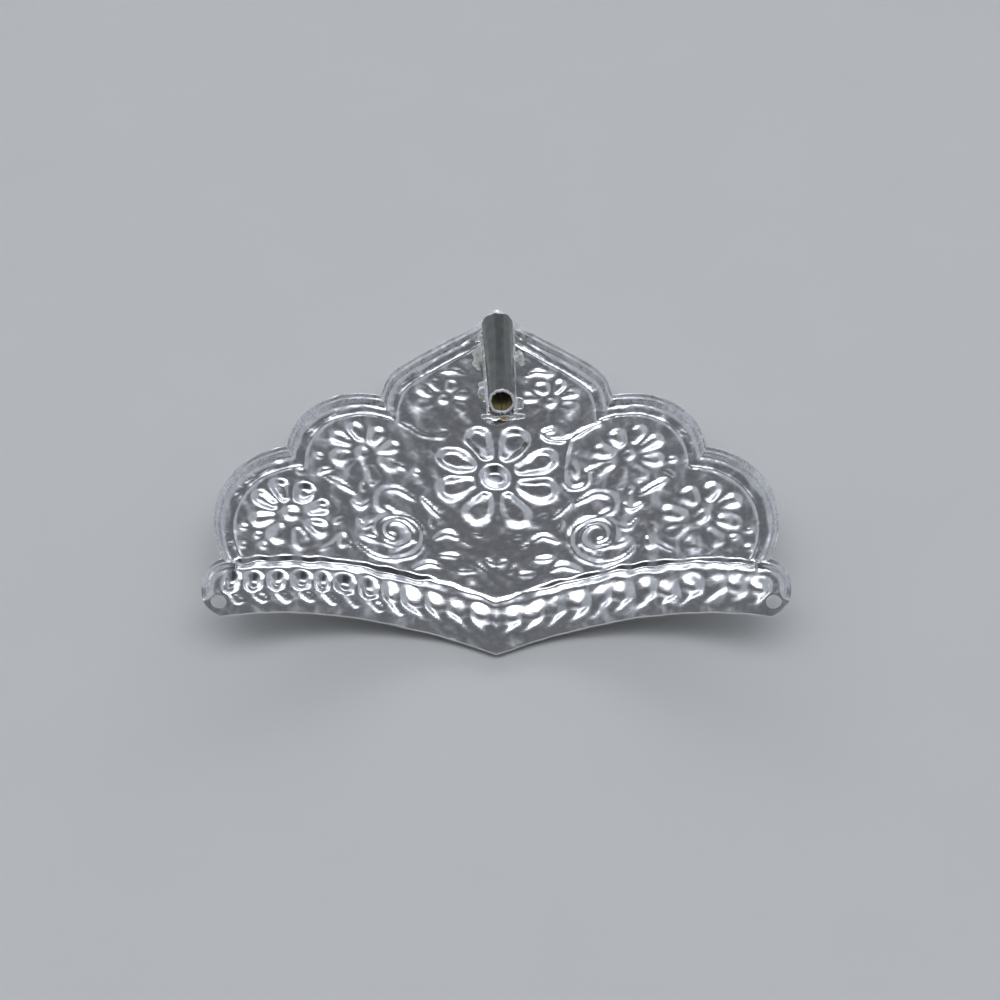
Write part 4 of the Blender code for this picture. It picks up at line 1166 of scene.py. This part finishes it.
class CROWN_OT_tube(bpy.types.Operator):
    """Make the rolled tube that holds a plume"""
    bl_idname = "crown.tube"
    bl_label = "Plume tube"

    def execute(self, context):
        sizes, finish = context.scene.crown_tube, context.scene.crown_finish
        length = (TUBE_TOP - TUBE_FOOT) * MM
        tube = grown("rolled_tube", roll_tree(), tube_blank(length), {
            "Bore": sizes.bore, "Wall": sizes.wall, "Flare": sizes.flare, "Length": length,
            "Slant": sizes.slant, "Seam": sizes.seam, "Material": tube_material(finish)})
        tube.data.transform(tube_place(context.scene))
        tube.data.set_sharp_from_angle(angle=math.radians(50))
        settle(tube, "rolled_silver", "plume_tube")
        return {"FINISHED"}


class CROWN_OT_solder(bpy.types.Operator):
    """Make the solder that holds the tube to the sheet"""
    bl_idname = "crown.solder"
    bl_label = "Solder"

    def execute(self, context):
        sizes, finish = context.scene.crown_tube, context.scene.crown_finish
        solder = grown("solder", solder_tree(), solder_points(context.scene), {
            "Seed": sizes.seed, "Lump": sizes.lump, "Material": solder_material(finish)})
        solder.data.shade_smooth()
        settle(solder, "rolled_silver")
        return {"FINISHED"}


class CROWN_OT_stage(bpy.types.Operator):
    """Make the floor, the lights and the camera"""
    bl_idname = "crown.stage"
    bl_label = "Floor, lights and camera"

    def execute(self, context):
        scene, look = context.scene, context.scene.crown_stage
        corners = [(x * FLOOR_REACH, y * FLOOR_REACH, 0) for x, y in ((-1, -1), (1, -1), (1, 1), (-1, 1))]
        floor = added("floor", mesh_of("floor", corners, [(0, 1, 2, 3)]))
        paint, w, shader = new_material("pale_floor")
        dim = tuple(c * 0.96 for c in look.floor)
        w.feed(shader["Base Color"], w.mix(w.noise(w.place(), 60.0, 3.0), (*look.floor, 1), (*dim, 1)))
        w.feed(shader["Roughness"], 0.8)
        floor.data.materials.append(paint)
        lamp = bpy.data.lights.new("soft_lamp", "AREA")
        lamp.shape, lamp.energy = "RECTANGLE", look.lamp
        lamp.size, lamp.size_y = LAMP_SIZE
        added("soft_lamp", lamp).location = (0.0, 0.0, LAMP_HEIGHT)
        self.sky(scene, look)
        camera = bpy.data.cameras.new("camera")
        camera.lens, camera.sensor_width, camera.clip_start = look.lens, SENSOR, 0.001
        eye = added("camera", camera)
        away = Vector((0, -math.cos(look.elevation), math.sin(look.elevation)))
        eye.location = Vector(CAMERA_TARGET) + look.distance * away
        eye.rotation_euler = (math.pi / 2 - look.elevation, 0, 0)
        scene.camera = eye
        scene.view_settings.view_transform = "Standard"
        return {"FINISHED"}

    @staticmethod
    def sky(scene, look):
        """Soft light in bands that run across behind and over the crown, a fill at both sides, and darkness
        on the camera's side."""
        world = bpy.data.worlds.new("soft_sky")
        world.use_nodes = True
        w = Wiring(world.node_tree)
        direction = w.node("ShaderNodeTexCoord").outputs["Generated"]
        side, back, up = w.node("ShaderNodeSeparateXYZ", direction).outputs
        turn = w.math("ARCTAN2", up, back)       # from the horizon behind, over the top, to the one in front
        side = w.math("ABSOLUTE", side)
        total = w.spread(turn, 1.2, 2.1, look.sky, look.sky * 0.5)
        for middle, width, light, reach in SKY_BANDS:
            total = w.plus(total, w.first("ShaderNodeGroup", node_tree=band_group(), named={
                "Angle": turn, "Side": side, "Middle": math.radians(middle), "Width": math.radians(width),
                "Strength": getattr(look, light), "Reach": reach}))
        fill = w.times(w.spread(side, 0.3, 0.62), w.spread(turn, 1.7, 2.5, look.side, look.side * 0.4))
        total = w.larger(total, fill)
        w.feed(world.node_tree.nodes["Background"].inputs["Color"],
               w.first("ShaderNodeCombineXYZ", w.times(total, 0.95), total, w.times(total, 1.08)))
        scene.world = world


def band_group():
    """Light of a soft band across the sky."""
    def build(w, given, out):
        away = w.math("DIVIDE", w.minus(given["Angle"], given["Middle"]), given["Width"])
        bell = w.math("POWER", math.e, w.times(w.times(away, away), -1.0))
        ends = w.minus(1.0, w.math("POWER", w.math("DIVIDE", given["Side"], given["Reach"]), 4.0))
        w.feed(out["Light"], w.times(w.times(bell, w.larger(ends, 0.0)), given["Strength"]))

    inputs = ("Angle", "Side", "Middle", "Width", "Strength", "Reach")
    return shared_group("Soft band", dict.fromkeys(inputs, NUMBER), {"Light": NUMBER}, build)


class CROWN_PT_panel(bpy.types.Panel):
    """Sizes, finishes and the makers of each piece"""
    bl_label = "Deity Crown"
    bl_idname = "CROWN_PT_panel"
    bl_space_type = "VIEW_3D"
    bl_region_type = "UI"
    bl_category = "Crown"

    def draw(self, context):
        for maker in MAKERS:
            self.layout.operator(maker.bl_idname)
        for name in GROUPS:
            group = getattr(context.scene, name)
            box = self.layout.box()
            for field in group.bl_rna.properties:
                if field.identifier not in ("name", "rna_type"):
                    box.prop(group, field.identifier)


GROUPS = {"crown_sheet": CrownSheet, "crown_tube": CrownTube, "crown_finish": CrownFinish,
          "crown_stage": CrownStage}
MAKERS = (CROWN_OT_sheet, CROWN_OT_tube, CROWN_OT_solder, CROWN_OT_stage)


def register():
    for kind in (*GROUPS.values(), *MAKERS, CROWN_PT_panel):
        bpy.utils.register_class(kind)
    for name, kind in GROUPS.items():
        setattr(bpy.types.Scene, name, PointerProperty(type=kind))


def unregister():
    for name in GROUPS:
        delattr(bpy.types.Scene, name)
    for kind in reversed((*GROUPS.values(), *MAKERS, CROWN_PT_panel)):
        bpy.utils.unregister_class(kind)


def main():
    register()
    bpy.ops.crown.sheet()
    bpy.ops.crown.tube()
    bpy.ops.crown.solder()
    bpy.ops.crown.stage()


if __name__ == "__main__":
    main()
